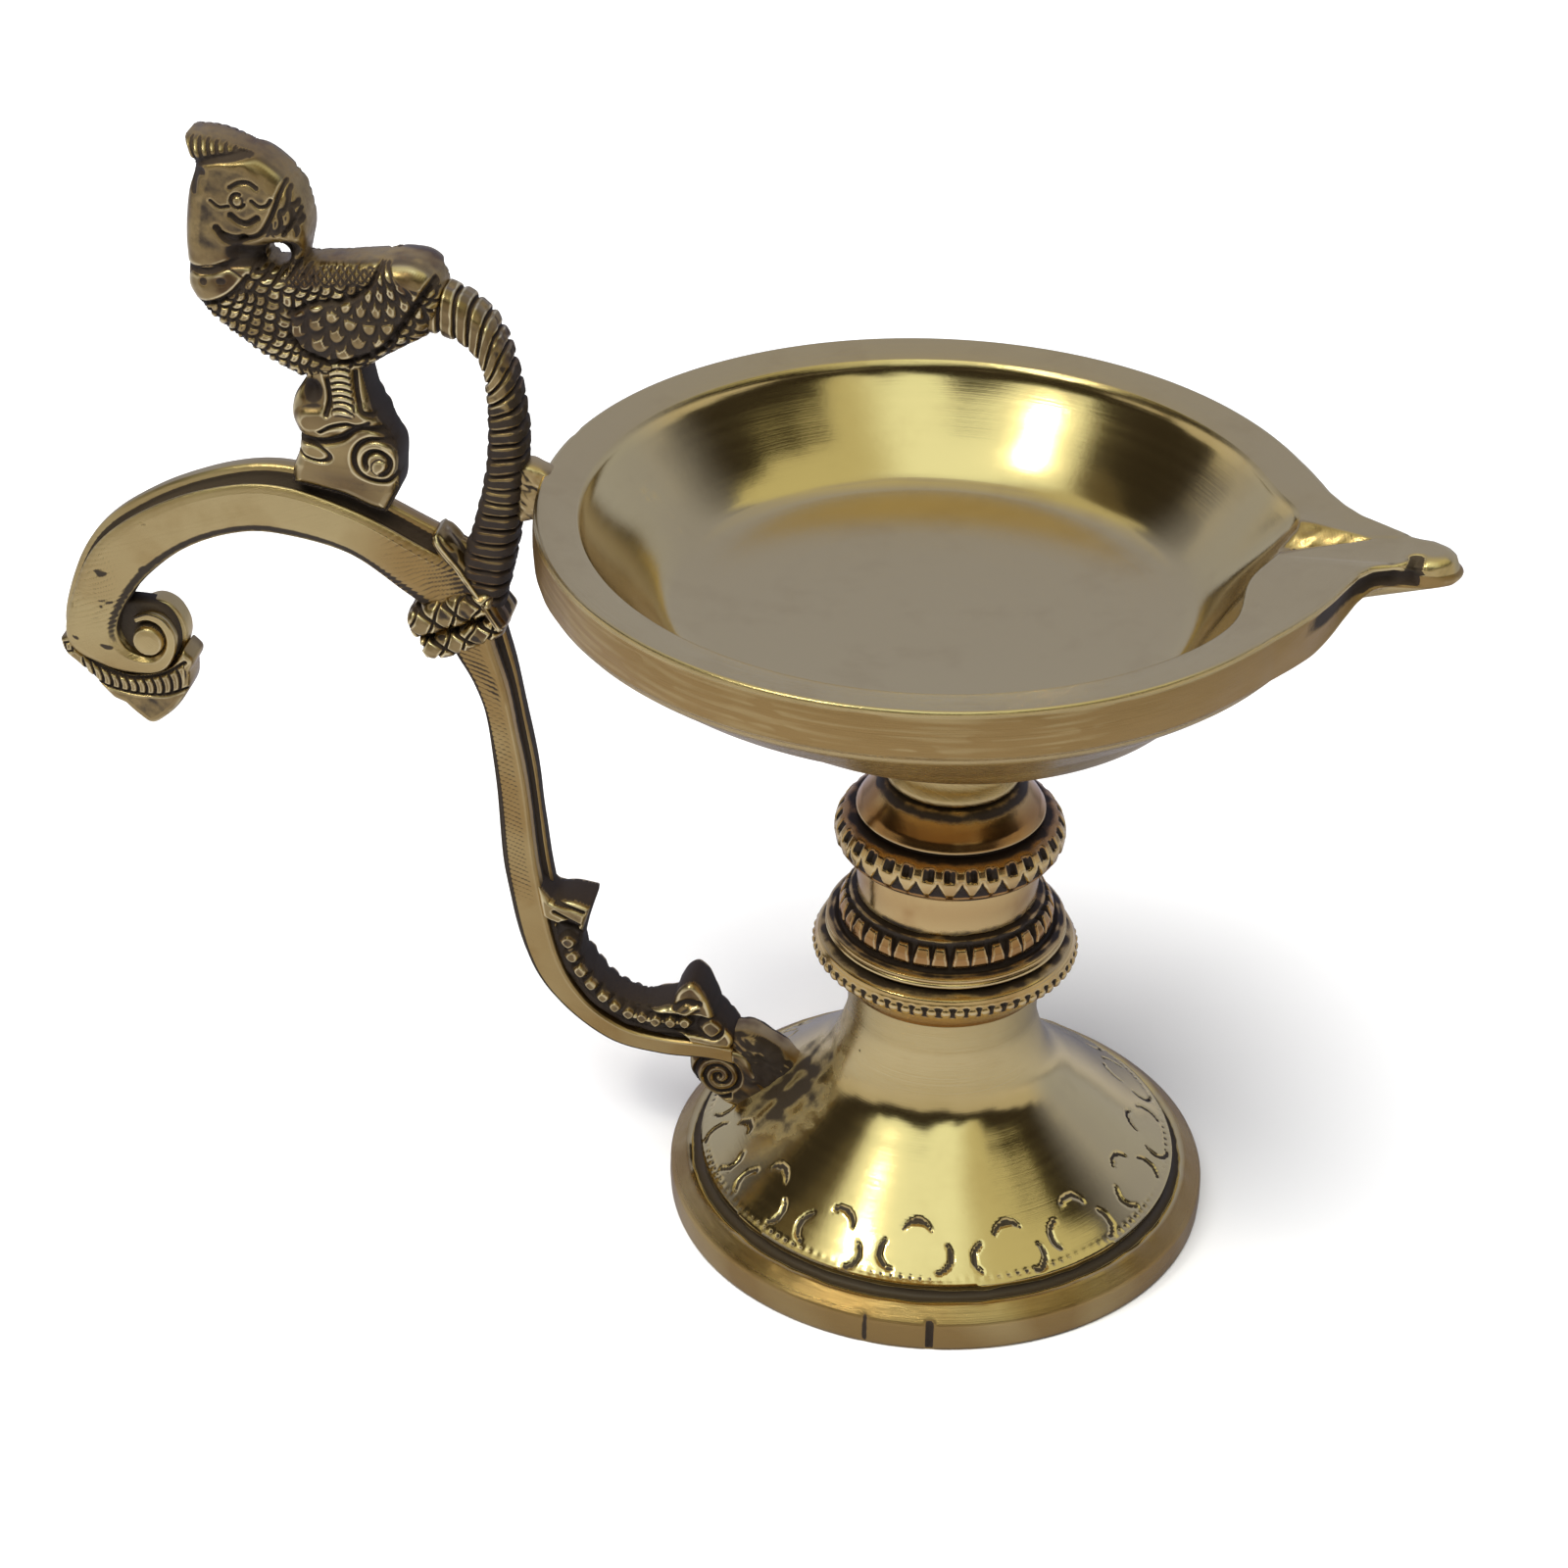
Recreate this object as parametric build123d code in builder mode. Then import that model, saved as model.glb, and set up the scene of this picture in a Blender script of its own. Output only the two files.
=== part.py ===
from build123d import *
import os

# Brass hand lamp: an oil bowl with a wick spout on a turned stem and bell foot, with a bird-topped handle.
# Origin: centre of the foot's resting circle, on the stem axis. +Z up, +X towards the wick spout.

# ---- driving dimensions, mm ----
foot_radius = 33.0
foot_band_height = 3.6
foot_groove_radius = 29.6
foot_groove_height = 5.8
foot_height = 32.0
foot_neck_radius = 11.6
foot_wall = 2.6
foot_boss_radius = 9.0
foot_boss_bottom = 20.0

lower_knop_top = 44.0
lower_ring_radius = 16.0
lower_flange_radius = 14.4
neck_radius = 10.8
upper_knop_top = 59.5
upper_ring_radius = 13.6
upper_lip_radius = 11.1

stud_radius = 3.0
stud_bottom = 13.0
washer_radius = 6.5
washer_thickness = 1.2
nut_across_flats = 10.0
nut_thickness = 5.0

bowl_shift = -3.5
bowl_radius = 45.0
rim_height = 94.6
rim_inner_radius = 40.0
bowl_floor_radius = 31.0
bowl_floor_height = 82.0
bowl_dish = 1.2
bowl_band_bottom = 89.0
bowl_neck_radius = 6.8
bowl_underside_height = 71.6
bowl_ring_radius = 7.8
stud_depth_in_bowl = 6.0

spout_root = 24.0
spout_root_half_width = 31.0
spout_underside_tip = 92.4
spout_tip = 55.6
nose_half_width = 4.4
nose_half_height = 3.1
nose_height = 93.4
nose_back = 50.2
wick_groove_tip = 45.0
wick_groove_half_width = 4.5
wick_groove_depth = 2.6

bar_thickness = 5.6
crescent_thickness = 6.4
leaf_thickness = 5.0
collar_thickness = 8.0
volute_thickness = 5.6
perch_thickness = 7.0
bird_thickness = 8.0
tail_thickness = 6.0
braze_thickness = 5.2
edge_bevel = 0.8
bird_bevel = 1.8

os.makedirs("parts", exist_ok=True)


def finish(name, piece):
    piece.part.label = name
    export_step(piece.part, f"parts/{name}.step")
    print(name, round(piece.part.volume, 1))


# ---- foot: a hollow bell on a vertical rim band ----
with BuildPart() as foot:
    with BuildSketch(Plane.XZ):
        with BuildLine():
            Polyline((0, 0), (foot_radius, 0), (foot_radius, foot_band_height))
            Line((foot_radius, foot_band_height), (foot_groove_radius + 1.2, foot_groove_height - 0.4))
            Line((foot_groove_radius + 1.2, foot_groove_height - 0.4), (foot_groove_radius, foot_groove_height - 0.8))
            Line((foot_groove_radius, foot_groove_height - 0.8), (foot_groove_radius, foot_groove_height + 0.4))
            Spline(
                (foot_groove_radius, foot_groove_height + 0.4),
                (24.7, 10.0),
                (17.8, 16.0),
                (13.2, 22.5),
                (foot_neck_radius, foot_height),
                tangents=((-1, 0.35), (0, 1)),
            )
            Polyline((foot_neck_radius, foot_height), (0, foot_height), (0, 0))
        make_face()
    revolve(axis=Axis.Z)
    # the hollow below, with a boss left around the stem stud
    with BuildSketch(Plane.XZ):
        with BuildLine():
            Line((foot_boss_radius, -1), (foot_radius - foot_wall - 0.6, -1))
            Line((foot_radius - foot_wall - 0.6, -1), (foot_radius - foot_wall - 0.6, 1.6))
            Spline(
                (foot_radius - foot_wall - 0.6, 1.6),
                (22.6, 8.0),
                (15.6, 14.2),
                (foot_boss_radius, foot_boss_bottom),
                tangents=((-0.8, 0.6), (-0.7, 1)),
            )
            Line((foot_boss_radius, foot_boss_bottom), (foot_boss_radius, -1))
        make_face()
    revolve(axis=Axis.Z, mode=Mode.SUBTRACT)
    with BuildSketch(Plane.XY.offset(-1)):
        Circle(foot_boss_radius + 0.1)
    extrude(amount=foot_boss_bottom + 1, mode=Mode.SUBTRACT)
    with BuildSketch(Plane.XY):
        Circle(stud_radius)
    extrude(amount=foot_height, mode=Mode.SUBTRACT)
finish("foot", foot)

# ---- lower knop: beaded ring, bright flange and a seat of pointed beads ----
with BuildPart() as lower_knop:
    with BuildSketch(Plane.XZ):
        with BuildLine():
            Polyline(
                (stud_radius, foot_height),
                (12.3, foot_height),
                (15.3, 35.8),
                (lower_ring_radius, 36.9),
                (15.2, 38.3),
                (13.4, 38.4),
                (13.4, 38.9),
                (lower_flange_radius, 39.1),
                (lower_flange_radius, 40.2),
                (13.2, 40.6),
                (12.9, 41.4),
                (12.2, 43.4),
                (11.0, lower_knop_top),
                (stud_radius, lower_knop_top),
                close=True,
            )
        make_face()
    revolve(axis=Axis.Z)
finish("lower_knop", lower_knop)

# ---- upper knop: plain neck, punched ring and cone lip ----
with BuildPart() as upper_knop:
    with BuildSketch(Plane.XZ):
        with BuildLine():
            Polyline(
                (stud_radius, lower_knop_top),
                (neck_radius, lower_knop_top),
                (neck_radius, 49.8),
                (12.8, 50.3),
                (upper_ring_radius, 52.0),
                (13.4, 53.8),
                (12.3, 55.0),
                (10.6, 55.1),
                (10.6, 55.4),
                (upper_lip_radius, 55.7),
                (9.2, 58.4),
                (8.3, upper_knop_top),
                (stud_radius, upper_knop_top),
                close=True,
            )
        make_face()
    revolve(axis=Axis.Z)
finish("upper_knop", upper_knop)

# ---- bowl: cast dish with a wick spout, on a short neck over the stem axis ----
bowl_axis = Axis((bowl_shift, 0, 0), (0, 0, 1))

# spout: its plan narrows in two hollow curves to the nose, its underside runs on from the bowl's band
with BuildPart() as spout:
    with BuildSketch(Plane.XY.offset(rim_height)):
        with BuildLine():
            Line((spout_root, -spout_root_half_width), (spout_root, spout_root_half_width))
            Spline(
                (spout_root, spout_root_half_width),
                (34.0, 24.6),
                (43.0, 10.6),
                (nose_back, nose_half_width),
                tangents=((1, -0.45), (1, -0.5)),
            )
            Line((nose_back, nose_half_width), (nose_back, -nose_half_width))
            Spline(
                (nose_back, -nose_half_width),
                (43.0, -10.6),
                (34.0, -24.6),
                (spout_root, -spout_root_half_width),
                tangents=((-1, -0.5), (-1, -0.45)),
            )
        make_face()
    extrude(amount=-(rim_height - bowl_floor_height))
    with BuildSketch(Plane.XZ):
        with BuildLine():
            Polyline(
                (bowl_shift, bowl_floor_height - 2),
                (bowl_shift, bowl_band_bottom - 2.4),
                (bowl_shift + bowl_radius - 2, bowl_band_bottom - 2.4),
                (bowl_shift + bowl_radius, bowl_band_bottom),
            )
            Spline(
                (bowl_shift + bowl_radius, bowl_band_bottom),
                (bowl_shift + bowl_radius + 7, bowl_band_bottom + 1.5),
                (bowl_shift + bowl_radius + 16, spout_underside_tip),
            )
            Polyline(
                (bowl_shift + bowl_radius + 16, spout_underside_tip),
                (bowl_shift + bowl_radius + 16, bowl_floor_height - 2),
                (bowl_shift, bowl_floor_height - 2),
            )
        make_face()
    revolve(axis=bowl_axis, mode=Mode.SUBTRACT)

with BuildPart() as bowl:
    with BuildSketch(Plane.XZ):
        with BuildLine():
            Line((bowl_shift, rim_height), (bowl_shift + bowl_radius, rim_height))
            Line((bowl_shift + bowl_radius, rim_height), (bowl_shift + bowl_radius, bowl_band_bottom))
            Spline(
                (bowl_shift + bowl_radius, bowl_band_bottom),
                (bowl_shift + 40.6, 84.9),
                (bowl_shift + 27.2, 75.4),
                (bowl_shift + 10.0, bowl_underside_height),
                tangents=((-0.6, -1), (-1, -0.05)),
            )
            Polyline(
                (bowl_shift + 10.0, bowl_underside_height),
                (bowl_shift, bowl_underside_height),
                (bowl_shift, rim_height),
            )
        make_face()
    revolve(axis=bowl_axis)
    # neck and its bright ring, seated on the upper knop
    with BuildSketch(Plane.XZ):
        with BuildLine():
            Polyline(
                (0, upper_knop_top),
                (bowl_ring_radius, upper_knop_top),
                (bowl_ring_radius, 61.2),
                (bowl_neck_radius, 62.0),
                (bowl_neck_radius, 66.0),
                (8.6, 70.0),
                (12.0, 73.0),
                (0, 76.0),
                close=True,
            )
        make_face()
    revolve(axis=Axis.Z)
    add(spout.part)
    # rounded nose: half an ellipse turned about its own axis
    with BuildSketch(Plane.XZ):
        with Locations((nose_back, nose_height)):
            Ellipse(spout_tip - nose_back, nose_half_height)
        with Locations((nose_back, nose_height - spout_tip)):
            Rectangle(4 * spout_tip, 2 * spout_tip, mode=Mode.SUBTRACT)
    revolve(axis=Axis((nose_back, 0, nose_height), (1, 0, 0)))
    # oil hollow: sloped lip, curved wall and a slightly dished floor
    with BuildSketch(Plane.XZ):
        with BuildLine():
            Polyline(
                (bowl_shift, rim_height + 4),
                (bowl_shift + rim_inner_radius, rim_height + 4),
                (bowl_shift + rim_inner_radius, rim_height - 0.8),
            )
            Spline(
                (bowl_shift + rim_inner_radius, rim_height - 0.8),
                (bowl_shift + 36.8, 87.6),
                (bowl_shift + bowl_floor_radius, bowl_floor_height),
                (bowl_shift, bowl_floor_height - bowl_dish),
                tangents=((-0.25, -1), (-1, 0)),
            )
            Line((bowl_shift, bowl_floor_height - bowl_dish), (bowl_shift, rim_height + 4))
        make_face()
    revolve(axis=bowl_axis, mode=Mode.SUBTRACT)
    # wick groove: a V cut through the lip, ending short of the nose
    with BuildSketch(Plane.YZ.offset(rim_inner_radius + bowl_shift - 4)):
        with BuildLine():
            Polyline(
                (-wick_groove_half_width, rim_height + 0.4),
                (0, rim_height - wick_groove_depth),
                (wick_groove_half_width, rim_height + 0.4),
                close=True,
            )
        make_face()
    with BuildSketch(Plane.YZ.offset(wick_groove_tip)):
        with BuildLine():
            Polyline((-0.4, rim_height + 0.4), (0, rim_height), (0.4, rim_height + 0.4), close=True)
        make_face()
    loft(mode=Mode.SUBTRACT)
    # blind hole for the stem stud
    with BuildSketch(Plane.XY.offset(upper_knop_top)):
        Circle(stud_radius)
    extrude(amount=stud_depth_in_bowl, mode=Mode.SUBTRACT)
finish("bowl", bowl)

# ---- hidden fastening: one stud through the stem, with a washer and nut in the foot's hollow ----
with BuildPart() as stem_stud:
    with BuildSketch(Plane.XY.offset(stud_bottom)):
        Circle(stud_radius)
    extrude(amount=upper_knop_top + stud_depth_in_bowl - stud_bottom)
    chamfer(stem_stud.edges().filter_by(GeomType.CIRCLE).group_by(Axis.Z)[0], length=0.6)
finish("stem_stud", stem_stud)

with BuildPart() as stem_washer:
    with BuildSketch(Plane.XY.offset(foot_boss_bottom)):
        Circle(washer_radius)
        Circle(stud_radius, mode=Mode.SUBTRACT)
    extrude(amount=-washer_thickness)
finish("stem_washer", stem_washer)

with BuildPart() as stem_nut:
    with BuildSketch(Plane.XY.offset(foot_boss_bottom - washer_thickness)):
        RegularPolygon(nut_across_flats / 2, 6, major_radius=False)
        Circle(stud_radius, mode=Mode.SUBTRACT)
    extrude(amount=-nut_thickness)
finish("stem_nut", stem_nut)


# ---- handle: castings that stand in the XZ plane, centred on y = 0 ----
def bevel_rims(piece, size):
    # break the long edges of both flat faces
    rims = piece.faces().filter_by(Axis.Y).edges()
    chamfer(rims, length=size)


# collars: two bands that bind the strut, the scroll arm and the tail together
with BuildPart() as collar_lower:
    with BuildSketch(Plane.XZ):
        with BuildLine():
            Polyline((-63.2, 71.9), (-61.7, 69.5), (-52.9, 73.8), (-54.3, 76.2), close=True)
        make_face()
    extrude(amount=collar_thickness / 2, both=True)
    bevel_rims(collar_lower, edge_bevel)
finish("collar_lower", collar_lower)

with BuildPart() as collar_upper:
    with BuildSketch(Plane.XZ):
        with BuildLine():
            Polyline((-64.6, 75.4), (-63.2, 71.9), (-54.3, 76.2), (-54.9, 79.2), close=True)
        make_face()
    extrude(amount=collar_thickness / 2, both=True)
    bevel_rims(collar_upper, edge_bevel)
finish("collar_upper", collar_upper)

with BuildPart() as strut:
    with BuildSketch(Plane.XZ):
        with BuildLine():
            Spline(
                (-60.4, 71.2),
                (-56.5, 64.0),
                (-54.8, 52.0),
                (-54.0, 39.5),
                (-51.4, 27.6),
                (-44.3, 18.7),
                (-37.8, 15.7),
                (-30.8, 16.3),
                (-24.6, 15.2),
            )
            Line((-24.6, 15.2), (-25.4, 18.6))
            Spline(
                (-25.4, 18.6),
                (-32.0, 18.8),
                (-39.2, 19.5),
                (-45.2, 24.5),
                (-48.6, 33.5),
                (-49.6, 45.0),
                (-50.8, 56.0),
                (-52.1, 65.1),
                (-54.2, 74.4),
            )
            Line((-54.2, 74.4), (-60.4, 71.2))
        make_face()
    extrude(amount=bar_thickness / 2, both=True)
    bevel_rims(strut, edge_bevel)
    add(collar_lower.part, mode=Mode.SUBTRACT)
finish("strut", strut)

# crescent leaf in the strut's bend, with a knob at its lower end
with BuildPart() as crescent:
    with BuildSketch(Plane.XZ):
        with BuildLine():
            Spline(
                (-50.0, 40.0),
                (-49.0, 33.5),
                (-45.6, 24.3),
                (-39.4, 19.2),
                (-32.0, 18.4),
                (-25.6, 18.2),
            )
            Polyline((-25.6, 18.2), (-25.2, 19.6), (-26.6, 21.3), (-28.2, 21.8))
            ThreePointArc((-28.2, 21.8), (-30.4, 27.4), (-33.0, 24.4))
            Spline(
                (-33.0, 24.4),
                (-36.1, 22.9),
                (-41.0, 24.4),
                (-44.4, 29.6),
                (-43.2, 34.4),
                (-42.6, 36.9),
            )
            Polyline((-42.6, 36.9), (-45.4, 37.6), (-48.0, 37.4), (-50.0, 40.0))
        make_face()
    extrude(amount=crescent_thickness / 2, both=True)
    bevel_rims(crescent, edge_bevel / 2)
    add(strut.part, mode=Mode.SUBTRACT)
finish("crescent", crescent)

# small volute under the strut's end, resting on the bell
with BuildPart() as foot_volute:
    with BuildSketch(Plane.XZ):
        with BuildLine():
            Spline((-30.6, 17.0), (-30.5, 14.2), (-29.4, 12.0), (-27.0, 10.0), (-23.6, 9.0))
            Polyline((-23.6, 9.0), (-20.6, 12.0), (-24.2, 17.0), (-30.6, 17.0))
        make_face()
    extrude(amount=volute_thickness / 2, both=True)
    add(strut.part, mode=Mode.SUBTRACT)
    add(crescent.part, mode=Mode.SUBTRACT)
    add(foot.part, mode=Mode.SUBTRACT)
finish("foot_volute", foot_volute)

# scroll arm: a flat bar that arches out to the left and curls under into a volute
with BuildPart() as scroll_arm:
    with BuildSketch(Plane.XZ):
        with BuildLine():
            Spline(
                (-58.4, 84.4),
                (-62.0, 85.2),
                (-70.3, 89.2),
                (-79.0, 91.5),
                (-87.0, 90.4),
                (-96.0, 86.4),
                (-103.4, 80.4),
                (-107.3, 71.5),
                (-108.4, 65.4),
            )
            Spline(
                (-108.4, 65.4),
                (-105.0, 64.6),
                (-99.5, 62.2),
                (-94.6, 63.6),
                (-93.4, 67.2),
                (-95.6, 71.6),
                (-99.4, 73.6),
            )
            Spline(
                (-99.4, 73.6),
                (-96.0, 76.8),
                (-89.6, 81.5),
                (-80.0, 83.6),
                (-71.7, 82.0),
                (-66.0, 78.4),
                (-63.6, 74.6),
            )
            Polyline((-63.6, 74.6), (-56.4, 77.4), (-58.4, 84.4))
        make_face()
    extrude(amount=bar_thickness / 2, both=True)
    bevel_rims(scroll_arm, edge_bevel)
    add(collar_upper.part, mode=Mode.SUBTRACT)
    add(collar_lower.part, mode=Mode.SUBTRACT)
finish("scroll_arm", scroll_arm)

with BuildPart() as scroll_leaf:
    with BuildSketch(Plane.XZ):
        with BuildLine():
            Polyline(
                (-108.2, 64.8),
                (-106.3, 63.0),
                (-104.0, 61.0),
                (-102.0, 58.7),
                (-100.4, 58.0),
                (-98.8, 56.4),
                (-97.4, 55.9),
                (-95.7, 57.0),
                (-93.8, 58.9),
                (-92.3, 61.4),
                (-92.6, 64.4),
                (-95.0, 66.0),
                (-104.0, 67.0),
                close=True,
            )
        make_face()
    extrude(amount=leaf_thickness / 2, both=True)
    add(scroll_arm.part, mode=Mode.SUBTRACT)
finish("scroll_leaf", scroll_leaf)

# bird: head with a hooked crest that touches the back, leaving a small eye of daylight
with BuildPart() as bird:
    with BuildSketch(Plane.XZ):
        with BuildLine():
            Spline(
                (-87.2, 131.6),
                (-84.0, 131.6),
                (-79.0, 129.5),
                (-75.7, 126.2),
                (-74.8, 122.4),
                (-75.2, 118.3),
            )
            Spline((-75.2, 118.3), (-71.5, 118.5), (-65.3, 119.5), (-61.4, 119.6), (-59.5, 117.4))
            Spline((-59.5, 117.4), (-59.7, 114.0), (-61.1, 110.7))
            Spline(
                (-61.1, 110.7),
                (-65.6, 108.2),
                (-70.0, 105.2),
                (-75.0, 104.1),
                (-80.0, 106.3),
                (-86.1, 111.1),
                (-88.4, 115.0),
                (-88.3, 121.5),
                (-87.4, 128.2),
                (-87.2, 131.6),
            )
        make_face()
    extrude(amount=bird_thickness / 2, both=True)
    bevel_rims(bird, bird_bevel)
    with BuildSketch(Plane.XZ.offset(bird_thickness)):
        with Locations((-78.2, 119.2)):
            Ellipse(1.7, 2.0)
    extrude(amount=-2 * bird_thickness, mode=Mode.SUBTRACT)
finish("bird", bird)

# perch: leg and scrolled block between the bird and the arm
with BuildPart() as perch:
    with BuildSketch(Plane.XZ):
        with BuildLine():
            Spline((-75.0, 106.0), (-76.9, 101.0), (-76.6, 97.6), (-76.8, 94.0), (-78.0, 90.6))
            Line((-78.0, 90.6), (-66.4, 86.4))
            Spline((-66.4, 86.4), (-65.2, 92.0), (-65.4, 97.0), (-67.7, 101.8), (-69.0, 106.6))
            Line((-69.0, 106.6), (-75.0, 106.0))
        make_face()
    extrude(amount=perch_thickness / 2, both=True)
    bevel_rims(perch, edge_bevel)
    add(scroll_arm.part, mode=Mode.SUBTRACT)
    add(bird.part, mode=Mode.SUBTRACT)
finish("perch", perch)

# tail: arches over from the rump and runs down beside the bowl to the collars
with BuildPart() as tail:
    with BuildSketch(Plane.XZ):
        with BuildLine():
            Spline(
                (-61.0, 117.0),
                (-57.4, 115.7),
                (-54.0, 112.6),
                (-51.4, 106.0),
                (-50.4, 98.0),
                (-51.2, 88.6),
                (-52.9, 79.3),
                (-53.8, 75.8),
            )
            Line((-53.8, 75.8), (-58.8, 77.0))
            Line((-58.8, 77.0), (-59.2, 85.6))
            Spline(
                (-59.2, 85.6),
                (-56.4, 88.0),
                (-55.0, 95.0),
                (-54.5, 102.0),
                (-55.0, 107.2),
                (-57.6, 110.2),
                (-62.0, 111.0),
            )
            Line((-62.0, 111.0), (-61.0, 117.0))
        make_face()
    extrude(amount=tail_thickness / 2, both=True)
    bevel_rims(tail, edge_bevel)
    add(bird.part, mode=Mode.SUBTRACT)
    add(scroll_arm.part, mode=Mode.SUBTRACT)
    add(collar_upper.part, mode=Mode.SUBTRACT)
    add(collar_lower.part, mode=Mode.SUBTRACT)
finish("tail", tail)

# ---- braze fillets that join the handle to the bowl's rim and to the bell ----
with BuildPart() as bowl_braze:
    with BuildSketch(Plane.XZ):
        with BuildLine():
            Polyline((-52.4, 95.0), (-48.4, 95.0), (-46.6, 93.6), (-46.6, 89.8), (-51.8, 88.4), close=True)
        make_face()
    extrude(amount=braze_thickness / 2, both=True)
    add(bowl.part, mode=Mode.SUBTRACT)
    add(tail.part, mode=Mode.SUBTRACT)
finish("bowl_braze", bowl_braze)

with BuildPart() as foot_braze:
    with BuildSketch(Plane.XZ):
        with BuildLine():
            Polyline(
                (-26.4, 20.4),
                (-25.0, 14.0),
                (-23.4, 10.0),
                (-16.0, 14.0),
                (-18.6, 17.0),
                (-22.6, 19.6),
                close=True,
            )
        make_face()
    extrude(amount=braze_thickness / 2, both=True)
    add(foot.part, mode=Mode.SUBTRACT)
    add(foot_volute.part, mode=Mode.SUBTRACT)
    add(strut.part, mode=Mode.SUBTRACT)
    add(crescent.part, mode=Mode.SUBTRACT)
finish("foot_braze", foot_braze)
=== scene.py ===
import math
import bmesh
import bpy
import numpy as np
from mathutils import Matrix, Vector


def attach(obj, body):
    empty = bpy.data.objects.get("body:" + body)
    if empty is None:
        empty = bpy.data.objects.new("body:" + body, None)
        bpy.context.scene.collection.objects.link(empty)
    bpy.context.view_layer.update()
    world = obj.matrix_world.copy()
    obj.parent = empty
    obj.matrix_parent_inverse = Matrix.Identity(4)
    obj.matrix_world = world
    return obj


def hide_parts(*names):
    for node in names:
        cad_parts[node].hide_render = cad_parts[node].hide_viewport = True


# Brass hand lamp. Sizes below are in millimetres in the lamp's own frame: +X to the wick spout,
# the handle to -X, +Z up, origin under the middle of the foot. Meshes are written in metres.

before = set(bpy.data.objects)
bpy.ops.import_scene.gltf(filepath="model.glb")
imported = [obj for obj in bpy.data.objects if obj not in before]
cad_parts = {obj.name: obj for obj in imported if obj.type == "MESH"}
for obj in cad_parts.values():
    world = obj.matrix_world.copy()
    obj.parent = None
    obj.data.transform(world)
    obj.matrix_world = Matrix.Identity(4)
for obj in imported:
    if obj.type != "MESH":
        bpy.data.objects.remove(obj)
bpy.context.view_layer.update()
mm = 0.001
turn = 2 * np.pi


def throughPoints(rows, count):
    # Catmull-Rom curve: between two rows, a cubic whose end slopes are half the step between the row's neighbours
    p = np.asarray(rows, float)
    p = np.vstack([2 * p[0] - p[1], p, 2 * p[-1] - p[-2]])
    t = np.linspace(0, len(rows) - 1, count)
    k = np.minimum(t.astype(int), len(rows) - 2)
    f = (t - k)[:, None]
    a, b, c, d = p[k], p[k + 1], p[k + 2], p[k + 3]
    return 0.5 * (2 * b + (c - a) * f + (2 * a - 5 * b + 4 * c - d) * f**2 + (3 * b - a - 3 * c + d) * f**3)


def evenly(points, count, closed=False):
    # the same polyline, cut again into steps of equal length
    p = np.asarray(points, float)
    p = np.vstack([p, p[:1]]) if closed else p
    run = np.concatenate([[0], np.cumsum(np.linalg.norm(np.diff(p, axis=0), axis=1))])
    at = np.linspace(0, run[-1], count + 1)[:-1] if closed else np.linspace(0, run[-1], count)
    return np.stack([np.interp(at, run, p[:, i]) for i in range(p.shape[1])], 1)


def smooth(x, low, high):
    # 0 below low, 1 above high, and 3t^2 - 2t^3 between them
    t = np.clip((x - low) / (high - low), 0, 1)
    return t * t * (3 - 2 * t)


def bump(x, width):
    # bell curve: exp(-(x / width)^2)
    return np.exp(-(x / width) ** 2)


def dome(x):
    # half circle: sqrt(1 - x^2) inside |x| < 1, and 0 outside
    return np.sqrt(np.clip(1 - x * x, 0, 1))


def lineDistance(x, z, points):
    # distance to a polyline: the least over its runs of the distance to the nearest point of the run
    p = np.asarray(points, float)
    best = np.full(np.shape(x), 1e9)
    for a, b in zip(p[:-1], p[1:]):
        d = b - a
        t = np.clip(((x - a[0]) * d[0] + (z - a[1]) * d[1]) / (d @ d), 0, 1)
        best = np.minimum(best, np.hypot(x - a[0] - t * d[0], z - a[1] - t * d[1]))
    return best


def wobble(x, y, z, scale, seed=0.0):
    # handmade unevenness, about -1 to 1: three sines of crossed directions, bent by one another
    a, b, c = x / scale + seed, y / scale - 1.7 * seed, z / scale + 2.3 * seed
    s = np.sin(1.3 * a + 1.9 * b + np.sin(1.7 * c + a))
    s = s + np.sin(2.1 * b - 1.1 * c + np.sin(1.3 * a - b)) + np.sin(1.7 * c + 0.7 * a + np.sin(2.3 * b + c))
    return s / 3


def gridNormals(p, wrapU=False):
    # cross product of the central differences along u and v; v always closes on itself
    def diff(axis, wrap):
        d = np.roll(p, -1, axis) - np.roll(p, 1, axis)
        if not wrap:
            first = [slice(None)] * 3
            last = [slice(None)] * 3
            first[axis], last[axis] = 0, -1
            d[tuple(first)] = np.take(p, 1, axis) - np.take(p, 0, axis)
            d[tuple(last)] = np.take(p, -1, axis) - np.take(p, -2, axis)
        return d
    n = np.cross(diff(0, wrapU), diff(1, True))
    return n / np.maximum(np.linalg.norm(n, axis=2, keepdims=True), 1e-12)


def hollowness(p, n, wrapU):
    # bend of the surface in 1/mm, positive in a hollow: for u and for v, how far the two neighbours
    # at this reach stand above the tangent plane, over the distance to them squared
    reach = 2
    total = np.zeros(p.shape[:2])
    for axis, wrap in ((0, wrapU), (1, True)):
        ahead, behind = np.roll(p, -reach, axis), np.roll(p, reach, axis)
        rise = ((ahead - p) * n).sum(2) + ((behind - p) * n).sum(2)
        gap = ((ahead - p) ** 2).sum(2) + ((behind - p) ** 2).sum(2)
        part = rise / np.maximum(gap, 1e-4)
        if not wrap:
            edge = [slice(None)] * 2
            edge[axis] = slice(0, reach)
            part[tuple(edge)] = 0
            edge[axis] = slice(-reach, None)
            part[tuple(edge)] = 0
        total += part
    return total


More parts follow.
